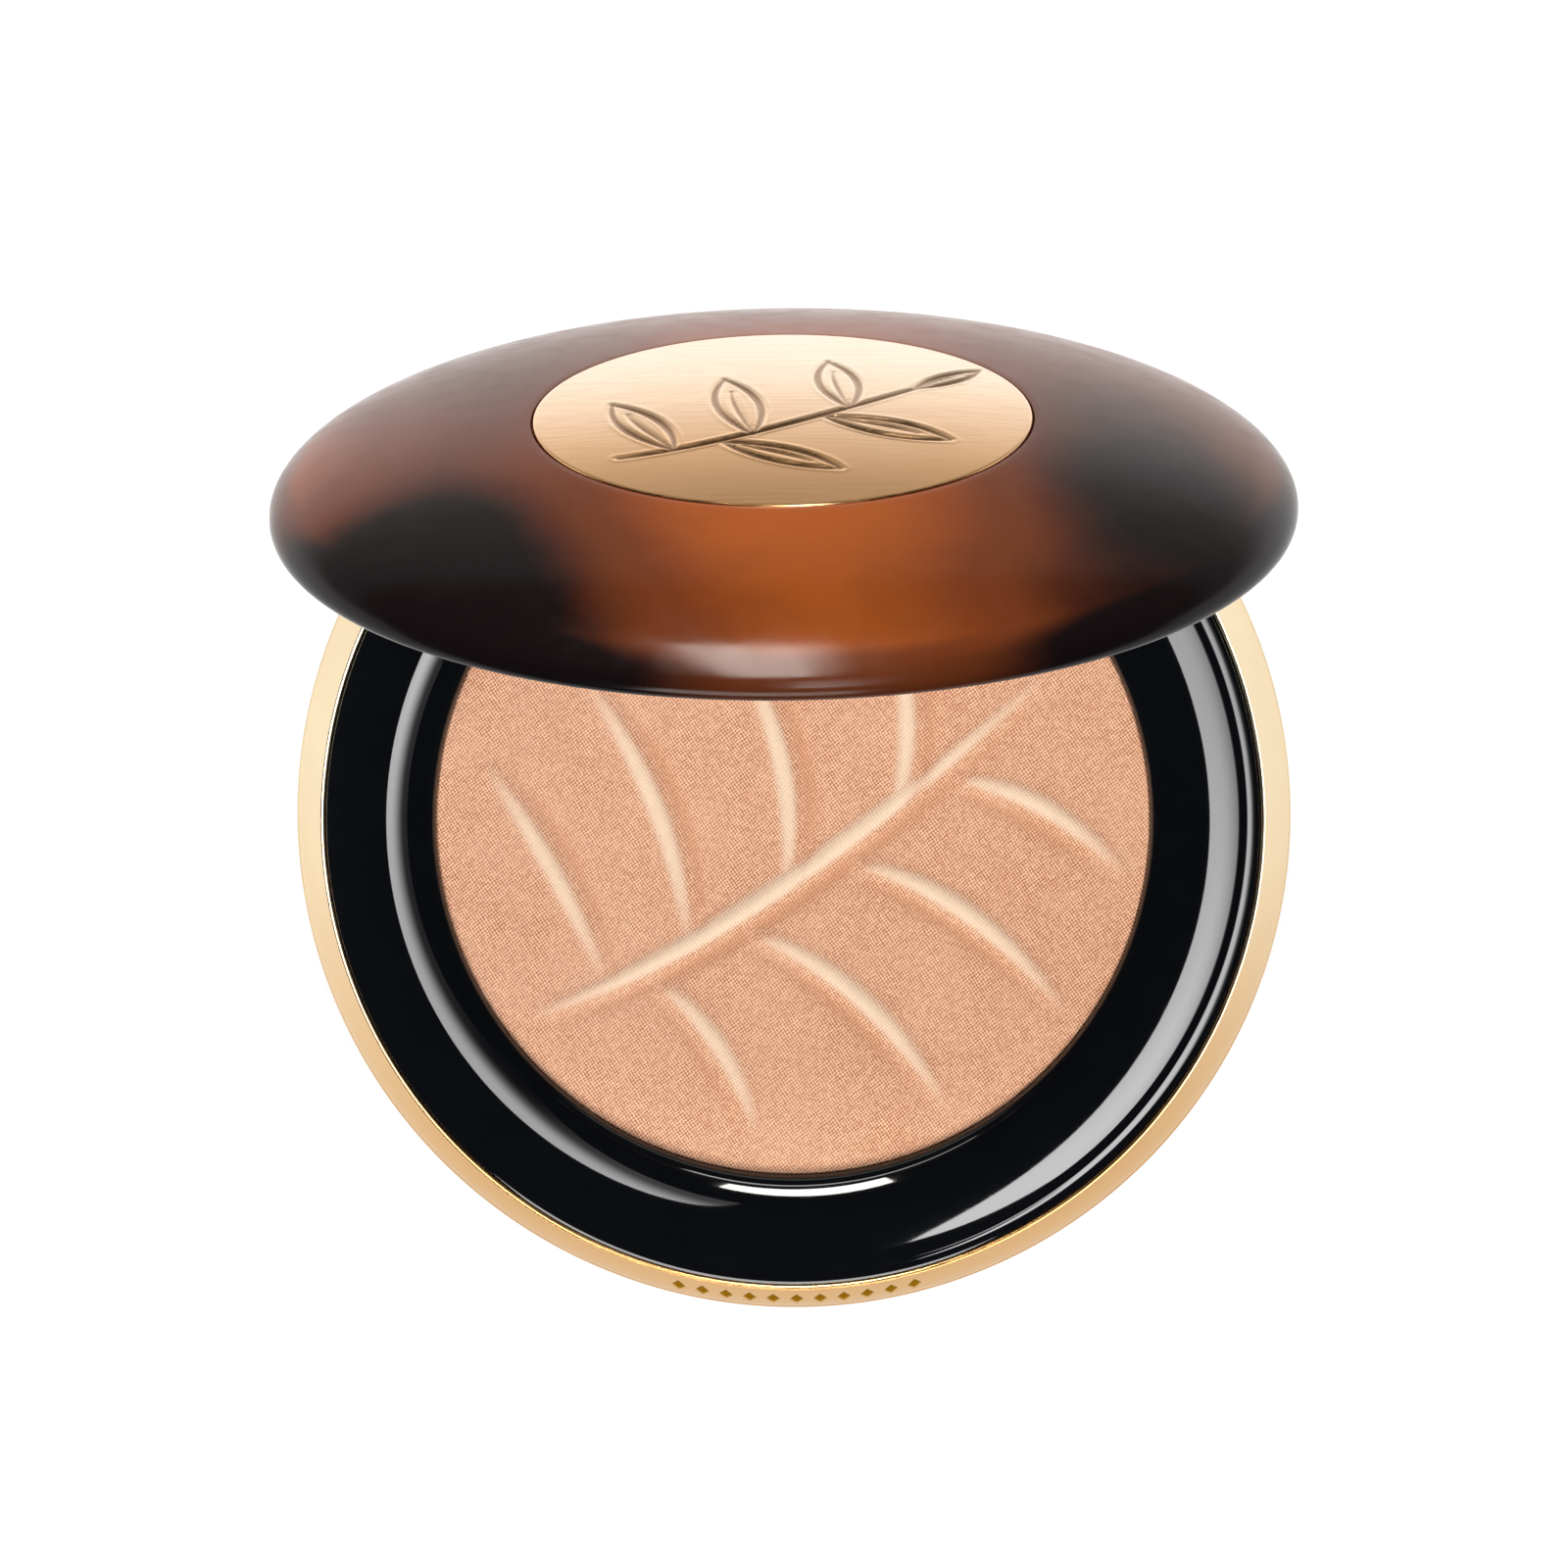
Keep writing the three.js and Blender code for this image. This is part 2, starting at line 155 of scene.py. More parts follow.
def dome_curve(radius: float, rise: float, start: float, stop: float, steps: int) -> np.ndarray:
    """Part of the lid's dome.

    Formula: radius cos t, widest height + rise sin t, with t even between the angles of the two radii.

    Args:
        radius: Half width of the dome's ellipse.
        rise: Its full rise.
        start: Radius at which the curve starts.
        stop: Radius at which it ends.
        steps: Number of pieces.

    Returns:
        The points.
    """
    turn = np.linspace(math.acos(min(start / radius, 1.0)), math.acos(min(stop / radius, 1.0)), steps + 1)
    return np.c_[radius * np.cos(turn), LID_WIDEST + rise * np.sin(turn)]


def clipped(profile: np.ndarray, column: int, limit: float, keep_below: bool) -> np.ndarray:
    """Closed profile with everything past a limit flattened onto the straight cut.

    Formula: the points past the limit are spread evenly along the line between the two crossings.

    Args:
        profile: Points in order, some of them inside the limit.
        column: 0 to limit the radius, 1 to limit the height.
        limit: Where the cut is.
        keep_below: Whether the part below the limit stays.

    Returns:
        As many points as before.
    """
    past = (profile[:, column] > limit) if keep_below else (profile[:, column] < limit)
    if not past.any():
        return profile.copy()
    first = int(np.argmax(past & ~np.roll(past, 1)))
    ordered, gone = np.roll(profile, -first, 0), np.roll(past, -first)
    count = int(np.argmin(gone))

    def crossing(inside: np.ndarray, outside: np.ndarray) -> np.ndarray:
        """Point at which the line between two points meets the limit."""
        share = (limit - inside[column]) / (outside[column] - inside[column])
        return inside + (outside - inside) * share

    enter = crossing(ordered[-1], ordered[0])
    leave = crossing(ordered[count], ordered[count - 1])
    ordered[:count] = enter + (leave - enter) * np.linspace(0.0, 1.0, count)[:, None]
    return np.roll(ordered, first, 0)


def lattice(rows: int, columns: int, wrap_rows: bool, wrap_columns: bool) -> np.ndarray:
    """Quads of a grid of points.

    Args:
        rows: Points down the grid.
        columns: Points across it.
        wrap_rows: Whether the last row joins the first.
        wrap_columns: Whether the last column joins the first.

    Returns:
        Four point numbers per quad.
    """
    row = np.arange(rows if wrap_rows else rows - 1)
    column = np.arange(columns if wrap_columns else columns - 1)
    r, c = np.meshgrid(row, column, indexing="ij")
    down, across = (r + 1) % rows, (c + 1) % columns
    return np.stack([r * columns + c, r * columns + across, down * columns + across, down * columns + c],
                    -1).reshape(-1, 4)


def polar(radius: np.ndarray, angles: np.ndarray, height: np.ndarray) -> np.ndarray:
    """Grid of points on rings round the axis.

    Formula: (r cos a, r sin a, z), ring after ring.

    Args:
        radius: Radius of each point, or a column with one for each ring.
        angles: Angles in radians, the same in every ring.
        height: Height of each point.

    Returns:
        The points, one a row.
    """
    return np.stack([radius * np.cos(angles), radius * np.sin(angles), height], -1).reshape(-1, 3)


def revolved(profile: np.ndarray, angles: np.ndarray, cut: Optional[np.ndarray] = None,
             cut_columns: Optional[np.ndarray] = None) -> tuple[np.ndarray, np.ndarray]:
    """Closed surface of revolution, with another profile over some of the turn.

    Formula: (r cos a, r sin a, z) for each profile point (r, z) and each angle a.

    Args:
        profile: Closed loop, or a line that starts and ends on the axis.
        angles: Angles in radians, rising.
        cut: Profile used on the cut columns, as many points as the first.
        cut_columns: True for each angle that uses it.

    Returns:
        Points and quads.
    """
    section = np.repeat(profile[:, None, :], len(angles), 1)
    if cut is not None and cut_columns is not None:
        section[:, cut_columns] = cut[:, None, :]
    loop = bool(profile[0, 0] > 1e-6)
    return polar(section[..., 0], angles, section[..., 1]), lattice(len(profile), len(angles), loop, True)


def turn_angles(half_notch: float = 0.0, count: int = ROUND) -> tuple[np.ndarray, np.ndarray]:
    """Angles round the case, doubled at both sides of a notch at the hinge.

    Args:
        half_notch: Half the notch's angle in radians, or 0 for none.
        count: Angles round the rest of the turn.

    Returns:
        The angles, and which of them are inside the notch.
    """
    middle = math.pi / 2
    if half_notch <= 0:
        angles = np.linspace(0, 2 * math.pi, count, endpoint=False)
        return angles, np.zeros(count, bool)
    inside = np.linspace(middle - half_notch, middle + half_notch, max(int(count * half_notch / math.pi), 12))
    outside = np.linspace(middle + half_notch, middle - half_notch + 2 * math.pi, count)
    return np.r_[inside, outside], np.r_[np.ones(len(inside), bool), np.zeros(len(outside), bool)]


def nearest_line(points: np.ndarray, line: np.ndarray) -> tuple[np.ndarray, np.ndarray, np.ndarray]:
    """Distance of each point to a polyline.

    Formula: the least distance to the line's pieces, each by projection held between its ends.

    Args:
        points: Points in the plane.
        line: Corners of the polyline.

    Returns:
        Distance, share of the way along, and signed side.
    """
    best = np.full(len(points), 1e9)
    along = np.zeros(len(points))
    side = np.zeros(len(points))
    for index, (a, b) in enumerate(zip(line[:-1], line[1:])):
        edge = b - a
        share = np.clip(((points - a) @ edge) / (edge @ edge), 0, 1)
        off = points - (a + share[:, None] * edge)
        distance = np.hypot(off[:, 0], off[:, 1])
        closer = distance < best
        best[closer] = distance[closer]
        along[closer] = ((index + share) / (len(line) - 1))[closer]
        side[closer] = np.sign(edge[0] * off[:, 1] - edge[1] * off[:, 0])[closer]
    return best, along, side


def make_piece(name: str, points: np.ndarray, quads: np.ndarray, body: Body, material: bpy.types.Material,
               stands_for: Sequence[str] = (), relief: Optional[np.ndarray] = None) -> None:
    """Put a surface into a mesh object that rides on a body.

    Args:
        name: Piece name.
        points: Points in millimetres.
        quads: Point numbers of each face.
        body: Body it moves with.
        material: Its finish.
        stands_for: Nodes that it replaces.
        relief: One value a point, kept as the mesh attribute "relief" for the finish.
    """
    mesh = bpy.data.meshes.new(name)
    mesh.vertices.add(len(points))
    mesh.vertices.foreach_set("co", (points * MM).astype(np.float32).ravel())
    mesh.loops.add(quads.size)
    mesh.loops.foreach_set("vertex_index", quads.astype(np.int32).ravel())
    mesh.polygons.add(len(quads))
    mesh.polygons.foreach_set("loop_start", np.arange(0, quads.size, 4, dtype=np.int32))
    mesh.update(calc_edges=True)
    if relief is not None:
        values = mesh.attributes.new("relief", "FLOAT", "POINT")
        values.data.foreach_set("value", relief.astype(np.float32).ravel())
    work = bmesh.new()
    work.from_mesh(mesh)
    bmesh.ops.remove_doubles(work, verts=work.verts, dist=2e-6)
    bmesh.ops.dissolve_degenerate(work, edges=work.edges, dist=1e-7)
    bmesh.ops.recalc_face_normals(work, faces=work.faces)
    work.to_mesh(mesh)
    work.free()
    mesh.shade_smooth()
    mesh.set_sharp_from_angle(angle=SHARP_TURN)
    mesh.materials.append(material)
    piece = bpy.data.objects.new(name, mesh)
    bpy.context.scene.collection.objects.link(piece)
    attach(piece, body.value)
    if stands_for:
        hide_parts(*stands_for)
    LOG.info("%s: %d faces", name, len(mesh.polygons))


# ---------------------------------------------------------------------------------------------------------
# Finishes
# ---------------------------------------------------------------------------------------------------------
class Sketch:
    """Short way to lay out a node material."""

    def __init__(self, name: str) -> None:
        """Start a material with only its shader and output.

        Args:
            name: Name of the material.
        """
        self.material = bpy.data.materials.new(name)
        self.material.use_nodes = True
        self.tree = self.material.node_tree
        self.tree.nodes.clear()
        self.shader = self.tree.nodes.new("ShaderNodeBsdfPrincipled")
        output = self.tree.nodes.new("ShaderNodeOutputMaterial")
        self.tree.links.new(self.shader.outputs["BSDF"], output.inputs["Surface"])

    def set(self, **values: object) -> None:
        """Set constant shader sockets; an underscore stands for a space."""
        for key, value in values.items():
            self.shader.inputs[key.replace("_", " ")].default_value = value

    def feed(self, socket: str, source: bpy.types.NodeSocket) -> None:
        """Join a source to a shader socket."""
        self.tree.links.new(source, self.shader.inputs[socket])

    def place(self, turn: Sequence[float] = (0, 0, 0), scale: Sequence[float] = (1, 1, 1),
              shift: Sequence[float] = (0, 0, 0)) -> bpy.types.NodeSocket:
        """Object coordinates, moved, turned and scaled.

        Args:
            turn: Rotation in radians.
            scale: Scale along each axis.
            shift: Shift in metres, applied last.

        Returns:
            The coordinates.
        """
        coordinates = self.tree.nodes.new("ShaderNodeTexCoord")
        mapping = self.tree.nodes.new("ShaderNodeMapping")
        mapping.inputs["Rotation"].default_value = turn
        mapping.inputs["Scale"].default_value = scale
        mapping.inputs["Location"].default_value = shift
        self.tree.links.new(coordinates.outputs["Object"], mapping.inputs["Vector"])
        return mapping.outputs["Vector"]

    def place_closed(self) -> bpy.types.NodeSocket:
        """Coordinates of a lid piece as they would be with the lid closed.

        Returns:
            The coordinates.
        """
        y, z = -HINGE_Y * MM, -HINGE_Z * MM
        shift = (0, y * math.cos(OPEN_TURN) - z * math.sin(OPEN_TURN) + HINGE_Y * MM,
                 y * math.sin(OPEN_TURN) + z * math.cos(OPEN_TURN) + HINGE_Z * MM)
        return self.place(turn=(OPEN_TURN, 0, 0), shift=shift)

    def seen(self) -> bpy.types.NodeSocket:
        """1 where the studio is looked at directly, 0 in reflections."""
        return self.tree.nodes.new("ShaderNodeLightPath").outputs["Is Camera Ray"]

    def relief(self) -> bpy.types.NodeSocket:
        """The mesh's own relief value.

        Returns:
            The value.
        """
        node = self.tree.nodes.new("ShaderNodeAttribute")
        node.attribute_name = "relief"
        return node.outputs["Fac"]

    def noise(self, at: bpy.types.NodeSocket, scale: float, detail: float = 3.0, rough: float = 0.5,
              warp: float = 0.0, colour: bool = False) -> bpy.types.NodeSocket:
        """Cloudy noise at a number of lumps per metre.

        Args:
            at: Coordinates that it reads.
            scale: Lumps or cells per metre.
            detail: Octaves.
            rough: How strong the fine octaves are.
            warp: How far it distorts itself.
            colour: Whether to give three noises as a colour rather than one.

        Returns:
            The noise.
        """
        node = self.tree.nodes.new("ShaderNodeTexNoise")
        node.inputs["Scale"].default_value = scale
        node.inputs["Detail"].default_value = detail
        node.inputs["Roughness"].default_value = rough
        node.inputs["Distortion"].default_value = warp
        self.tree.links.new(at, node.inputs["Vector"])
        return node.outputs["Color" if colour else "Fac"]

    def cells(self, at: bpy.types.NodeSocket, scale: float, output: str = "Distance") -> bpy.types.NodeSocket:
        """Voronoi cells at a number per metre.

        Args:
            at: Coordinates that it reads.
            scale: Lumps or cells per metre.
            output: Which of the node's outputs to give.

        Returns:
            The chosen output.
        """
        node = self.tree.nodes.new("ShaderNodeTexVoronoi")
        node.inputs["Scale"].default_value = scale
        self.tree.links.new(at, node.inputs["Vector"])
        return node.outputs[output]

    def math(self, kind: str, *values: object) -> bpy.types.NodeSocket:
        """One math node on numbers or sockets.

        Args:
            kind: Operation of the node.
            values: Its inputs, in order.

        Returns:
            The result.
        """
        node = self.tree.nodes.new("ShaderNodeMath")
        node.operation = kind
        for socket, value in zip(node.inputs, values):
            if isinstance(value, bpy.types.NodeSocket):
                self.tree.links.new(value, socket)
            else:
                socket.default_value = value
        return node.outputs[0]

    def split(self, vector: bpy.types.NodeSocket) -> tuple[bpy.types.NodeSocket, ...]:
        """The x, y and z of a vector.

        Args:
            vector: Vector to take apart.

        Returns:
            The three values.
        """
        node = self.tree.nodes.new("ShaderNodeSeparateXYZ")
        self.tree.links.new(vector, node.inputs[0])
        return tuple(node.outputs)

    def moved(self, at: bpy.types.NodeSocket, push: bpy.types.NodeSocket,
              amount: float) -> bpy.types.NodeSocket:
        """Coordinates pushed about by a colour, by up to an amount in metres.

        Args:
            at: Coordinates that it reads.
            push: Colour that pushes.
            amount: Greatest push in metres.

        Returns:
            The moved coordinates.
        """
        centred = self.tree.nodes.new("ShaderNodeVectorMath")
        centred.operation = "SUBTRACT"
        centred.inputs[1].default_value = (0.5, 0.5, 0.5)
        self.tree.links.new(push, centred.inputs[0])
        sized = self.tree.nodes.new("ShaderNodeVectorMath")
        sized.operation = "MULTIPLY_ADD"
        sized.inputs[1].default_value = (amount, amount, amount)
        self.tree.links.new(centred.outputs[0], sized.inputs[0])
        self.tree.links.new(at, sized.inputs[2])
        return sized.outputs[0]

    def ramp(self, source: bpy.types.NodeSocket,
             stops: Sequence[tuple[float, Sequence[float]]]) -> bpy.types.NodeSocket:
        """Colour ramp through (position, linear colour) stops.

        Args:
            source: Value that is read.
            stops: Positions, rising, each with its colour.

        Returns:
            The colour.
        """
        node = self.tree.nodes.new("ShaderNodeValToRGB")
        node.color_ramp.interpolation = "EASE"
        elements = node.color_ramp.elements
        while len(elements) < len(stops):
            elements.new(0.5)
        for element, (position, colour) in zip(elements, stops):
            element.position = position
            element.color = (*colour, 1.0)
        self.tree.links.new(source, node.inputs["Fac"])
        return node.outputs["Color"]

    def span(self, source: bpy.types.NodeSocket, low: float, high: float, to_low: float = 0.0,
             to_high: float = 1.0) -> bpy.types.NodeSocket:
        """Source from low..high carried smoothly to to_low..to_high.

        Args:
            source: Value that is read.
            low: Value that becomes to_low.
            high: Value that becomes to_high.
            to_low: Result at low and below it.
            to_high: Result at high and above it.

        Returns:
            The carried value.
        """
        node = self.tree.nodes.new("ShaderNodeMapRange")
        node.interpolation_type = "SMOOTHSTEP"
        for socket, value in zip(("From Min", "From Max", "To Min", "To Max"), (low, high, to_low, to_high)):
            node.inputs[socket].default_value = value
        self.tree.links.new(source, node.inputs["Value"])
        return node.outputs["Result"]

    def blend(self, share: object, first: object, second: object) -> bpy.types.NodeSocket:
        """Mix of two colours, each a socket or a linear colour.

        Args:
            share: How much of the second there is.
            first: First colour.
            second: Second colour.

        Returns:
            The mixed colour.
        """
        node = self.tree.nodes.new("ShaderNodeMix")
        node.data_type = "RGBA"
        for socket, value in ((node.inputs[0], share), (node.inputs[6], first), (node.inputs[7], second)):
            if isinstance(value, bpy.types.NodeSocket):
                self.tree.links.new(value, socket)
            elif isinstance(value, (int, float)):
                socket.default_value = value
            else:
                socket.default_value = (*value, 1.0)
        return node.outputs[2]

    def bump(self, height: bpy.types.NodeSocket, distance: float) -> None:
        """Bump from a height of 0 to 1, scaled to a distance.

        Args:
            height: The height.
            distance: What 1 stands for, in millimetres.
        """
        node = self.tree.nodes.new("ShaderNodeBump")
        node.inputs["Distance"].default_value = distance * MM
        node.inputs["Strength"].default_value = 1.0
        self.tree.links.new(height, node.inputs["Height"])
        self.feed("Normal", node.outputs[0])


@dataclass(frozen=True)
class Patch:
    """One soft dark patch in the tortoise: middle and half sizes, in millimetres on the closed face."""

    x: float
    y: float
    wide: float
    deep: float
    weight: float = 1.0


BASE_PATCHES = (Patch(-26, -17, 14, 11), Patch(24, -20, 10, 14), Patch(6, 22, 14, 10), Patch(-30, 20, 9, 12),
                Patch(34, 12, 8, 12), Patch(0, -34, 10, 7, 0.8))
LID_PATCHES = (Patch(-30, -18, 13, 11), Patch(-24, -27, 12, 9, 0.75), Patch(-17, -35, 12, 7, 0.45),
               Patch(31, -14, 15, 17), Patch(24, 9, 14, 16, 0.6), Patch(27, -30, 13, 7, 0.35),
               Patch(-24, 13, 14, 15, 0.66), Patch(-24, -3, 12, 9, 0.3), Patch(0, 31, 30, 12, 0.35),
               Patch(5, -37, 34, 14, 0.2))


@dataclass(frozen=True)
class Tortoise:
    """Tortoise-patterned plastic: amber ground with smoky dark patches, painted shade darkening the rim,
    satin skin.
    """

    name: str
    patches: tuple[Patch, ...]
    tilted: bool = False
    roughness: float = 0.19
    amber: Colour = (0.16, 0.036, 0.0045)
    rust: Colour = (0.06, 0.014, 0.004)
    smoke: Colour = (0.003, 0.0017, 0.002)
    drift: float = 0.006
    streak: float = 0.14
    # painted shade: radii over which the rim darkens, and how much
    rim: tuple[float, float] = (0.0375, 0.0398)
    rim_painted_shade: float = 0.4

    def build(self) -> bpy.types.Material:
        """Material whose patches are summed soft ellipses, pushed about by noise.

        Returns:
            The material.
        """
        s = Sketch(self.name)
        at = s.place_closed() if self.tilted else s.place()
        x, y, _ = s.split(s.moved(at, s.noise(at, 40, 1.0, colour=True), self.drift))
        total: object = 0.0
        for patch in self.patches:
            across = s.math("MULTIPLY", s.math("SUBTRACT", x, patch.x * MM), 1 / (patch.wide * MM))
            along = s.math("MULTIPLY", s.math("SUBTRACT", y, patch.y * MM), 1 / (patch.deep * MM))
            square = s.math("ADD", s.math("MULTIPLY", across, across), s.math("MULTIPLY", along, along))
            soft = s.math("EXPONENT", s.math("MULTIPLY", square, -1.0))
            total = s.math("ADD", s.math("MULTIPLY", soft, patch.weight), total)
        streaks = s.noise(s.place(), 150, 4.0, 0.55, 0.6)
        dark = s.math("ADD", total, s.math("MULTIPLY", s.math("SUBTRACT", streaks, 0.5), self.streak))
        plain_x, plain_y, _ = s.split(at)
        reach = s.math("SQRT", s.math("ADD", s.math("MULTIPLY", plain_x, plain_x),
                                      s.math("MULTIPLY", plain_y, plain_y)))
        # painted shade: darker towards the outer rim
        dark = s.math("ADD", dark, s.span(reach, *self.rim, 0.0, self.rim_painted_shade))
        s.feed("Base Color", s.ramp(dark, [(0.0, self.amber), (0.48, self.rust), (1.0, self.smoke)]))
        smudge = s.noise(at, 420, 3.0)
        s.feed("Roughness", s.span(smudge, 0.3, 0.75, self.roughness - 0.03, self.roughness + 0.05))
        s.set(IOR=1.5, Specular_IOR_Level=0.13)
        s.bump(s.noise(at, 260, 1.0), 0.002)
        return s.material


@dataclass(frozen=True)
class PaleGold:
    """Polished champagne-gold metal with fine turning marks, a painted darker front reflection, tanned where
    it is engraved.
    """

    name: str
    colour: Colour = (0.80, 0.68, 0.49)
    # painted reflection: darker, warmer gold used towards the front of the band
    front_painted_reflection: Colour = (0.63, 0.355, 0.138)
    edge: Colour = (0.98, 0.9, 0.75)
    engraved: Colour = (0.44, 0.29, 0.12)
    roughness: float = 0.2

    def build(self) -> bpy.types.Material:
        """Metal whose tone runs from the front to the back as a painted reflection, with faint turning marks
        in its bump.

        Returns:
            The material.
        """
        s = Sketch(self.name)
        at = s.place()
        _, depth, _ = s.split(at)
        # painted reflection: the band is blended from darker, warmer gold at the front to lighter gold at the
        # back
        base = s.blend(s.span(depth, -0.031, 0.006), self.front_painted_reflection, self.colour)
        fine = s.noise(s.place(scale=(1, 1, 26)), 260, 3.0)
        tone = s.blend(s.span(s.noise(at, 90, 2.0), 0.3, 0.7, 0.0, 0.1), base, TANNED)
        cut = s.span(s.relief(), 0.1, 0.8)
        s.feed("Base Color", s.blend(cut, tone, self.engraved))
        s.feed("Specular Tint", s.blend(cut, self.edge, self.engraved))
        s.feed("Roughness", s.span(fine, 0.3, 0.7, self.roughness - 0.03, self.roughness + 0.05))
        s.bump(fine, 0.0025)
        s.set(Metallic=1.0)
        return s.material


@dataclass(frozen=True)
class EngravedGold:
    """Satin champagne gold of the emblem, with a painted reflection warmer and darker towards the lid's free
    edge, tanned in its engraving.
    """

    name: str
    # painted reflection: lighter gold towards the hinge, darker, warmer gold towards the lid's free edge
    pale: Colour = (0.95, 0.79, 0.62)
    warm: Colour = (0.95, 0.53, 0.23)
    engraved: Colour = (0.30, 0.15, 0.06)
    roughness: float = 0.2

    def build(self) -> bpy.types.Material:
        """Metal whose tone runs along the closed lid's y as a painted reflection, with a brushed bump.

        Returns:
            The material.
        """
        s = Sketch(self.name)
        at = s.place_closed()
        brushed = s.noise(s.place(scale=(1, 30, 30)), 130, 3.0)
        _, y, _ = s.split(s.moved(at, s.noise(at, 60, 1.0, colour=True), 0.008))
        # painted reflection: blend from warmer, darker gold at the free edge to lighter gold at the hinge
        # side
        tone = s.blend(s.span(y, -0.015, 0.018), self.warm, self.pale)
        tone = s.blend(s.span(brushed, 0.35, 0.7, 0.0, 0.12), tone, TANNED)
        s.feed("Base Color", s.blend(s.span(s.relief(), 0.12, 0.6, 0.0, 0.85), tone, self.engraved))
        s.feed("Roughness", s.span(brushed, 0.3, 0.7, self.roughness - 0.04, self.roughness + 0.06))
        s.set(Metallic=1.0)
        s.bump(brushed, 0.0012)
        return s.material


@dataclass(frozen=True)
class GlossBlack:
    """Piano-black moulding: very smooth, with faint dust and hair scratches."""

    name: str
    roughness: float = 0.03
    colour: Colour = (0.0022, 0.0026, 0.0034)

    def build(self) -> bpy.types.Material:
        """Near-black gloss whose roughness drifts with noise.

        Returns:
            The material.
        """
        s = Sketch(self.name)
        at = s.place()
        s.feed("Base Color", s.blend(s.noise(at, 300, 2.0), self.colour, tuple(c * 1.5 for c in self.colour)))
        scratch = s.noise(s.place(scale=(1, 12, 1), turn=(0, 0, 0.6)), 700, 2.0)
        s.feed("Roughness", s.span(scratch, 0.55, 0.8, self.roughness, self.roughness + 0.03))
        s.set(IOR=1.5)
        s.bump(s.noise(at, 500, 1.0), 0.0006)
        return s.material


@dataclass(frozen=True)
class MouldedBlack:
    """Satin black moulding with a fine spark-eroded grain."""

    name: str
    roughness: float = 0.42
    deep: Colour = (0.006, 0.006, 0.0065)
    soft: Colour = (0.011, 0.011, 0.012)

    def build(self) -> bpy.types.Material:
        """Dark plastic with cellular grain in its bump.

        Returns:
            The material.
        """
        s = Sketch(self.name)
        at = s.place()
        s.feed("Base Color", s.ramp(s.noise(at, 260, 3.0), [(0.3, self.deep), (0.7, self.soft)]))
        worn = s.noise(at, 180, 2.0)
        s.feed("Roughness", s.span(worn, 0.3, 0.7, self.roughness - 0.05, self.roughness + 0.07))
        s.bump(s.cells(at, 4200), 0.012)
        return s.material


@dataclass(frozen=True)
class PressedPowder:
    """Pressed peach powder with the weave of the pressing cloth, a faint shimmer and painted shade, lighter
    left than right.
    """

    name: str
    thread: float = 0.32
    weave_turn: float = 0.17
    # painted shade: lighter tone on the left, darker on the right
    left: Colour = (0.97, 0.435, 0.285)
    right: Colour = (0.85, 0.325, 0.155)
    dark: Colour = (0.40, 0.135, 0.06)
    light: Colour = (1.0, 0.65, 0.43)
    cloud: Colour = (0.93, 0.56, 0.38)
    # painted shade in the hollows and painted highlight on the ridge crests
    hollow: Colour = (0.58, 0.24, 0.11)
    ridge: Colour = (1.0, 0.80, 0.60)

    def build(self) -> bpy.types.Material:
        """Weave: the product of two crossed waves of thread pitch, broken up by noise; painted highlights on
        the pressed ridges and painted shade in the hollows beside them.

        Returns:
            The material.
        """
        s = Sketch(self.name)
        at = s.place(turn=(0, 0, self.weave_turn))
        x, y, _ = s.split(s.moved(at, s.noise(at, 1500, 2.0, colour=True), 0.00022))
        rate = 2 * math.pi / (self.thread * MM)
        warp = s.math("SINE", s.math("MULTIPLY", x, rate))
        weft = s.math("SINE", s.math("MULTIPLY", y, rate * 0.9))
        weave = s.math("MULTIPLY_ADD", s.math("MULTIPLY", warp, weft), 0.5, 0.5)
        grain = s.noise(at, 3400, 3.0, 0.65)
        mottle = s.math("ADD", s.math("MULTIPLY", weave, 0.5), s.math("MULTIPLY", grain, 0.5))
        across, _, _ = s.split(s.place())
        # painted shade: the ground colour runs from lighter on the left to darker on the right
        ground = s.blend(s.span(across, -0.03, 0.03), self.left, self.right)
        dark = s.blend(0.85, ground, self.dark)
        light = s.blend(0.85, ground, self.light)
        tone = s.blend(s.span(mottle, 0.40, 0.60), dark, light)
        tone = s.blend(s.span(s.noise(at, 130, 3.0), 0.3, 0.75, 0.0, 0.2), tone, self.cloud)
        press = s.relief()
        # painted shade in the hollows beside the pressed ridges
        tone = s.blend(s.span(press, -0.05, -0.6, 0.0, 0.5), tone, self.hollow)
        # painted highlight on the crests of the pressed ridges
        tone = s.blend(s.span(press, 0.1, 0.95, 0.0, 0.72), tone, self.ridge)
        s.feed("Base Color", tone)
        flake, _, _ = s.split(s.cells(at, 2600, "Color"))
        s.feed("Roughness", s.span(flake, 0.9, 0.97, 0.78, 0.35))
        s.set(Specular_IOR_Level=0.3, Sheen_Weight=0.06, Sheen_Roughness=0.5,
              Sheen_Tint=(1.0, 0.85, 0.7, 1.0))
        s.bump(mottle, 0.06)
        return s.material


@dataclass(frozen=True)
class PlainMetal:
    """Bare or plated metal of a hidden part, with its making marks."""

    name: str
    colour: Colour
    roughness: float = 0.3
    stretch: tuple[float, float, float] = (1, 18, 1)

    def build(self) -> bpy.types.Material:
        """Metal with stretched noise for rolling or turning marks.

        Returns:
            The material.
        """
        s = Sketch(self.name)
        marks = s.noise(s.place(scale=self.stretch), 300, 4.0)
        s.feed("Base Color", s.blend(marks, self.colour, tuple(c * 0.8 for c in self.colour)))
        s.feed("Roughness", s.span(marks, 0.3, 0.7, self.roughness - 0.06, self.roughness + 0.1))
        s.set(Metallic=1.0)
        s.bump(marks, 0.004)
        return s.material


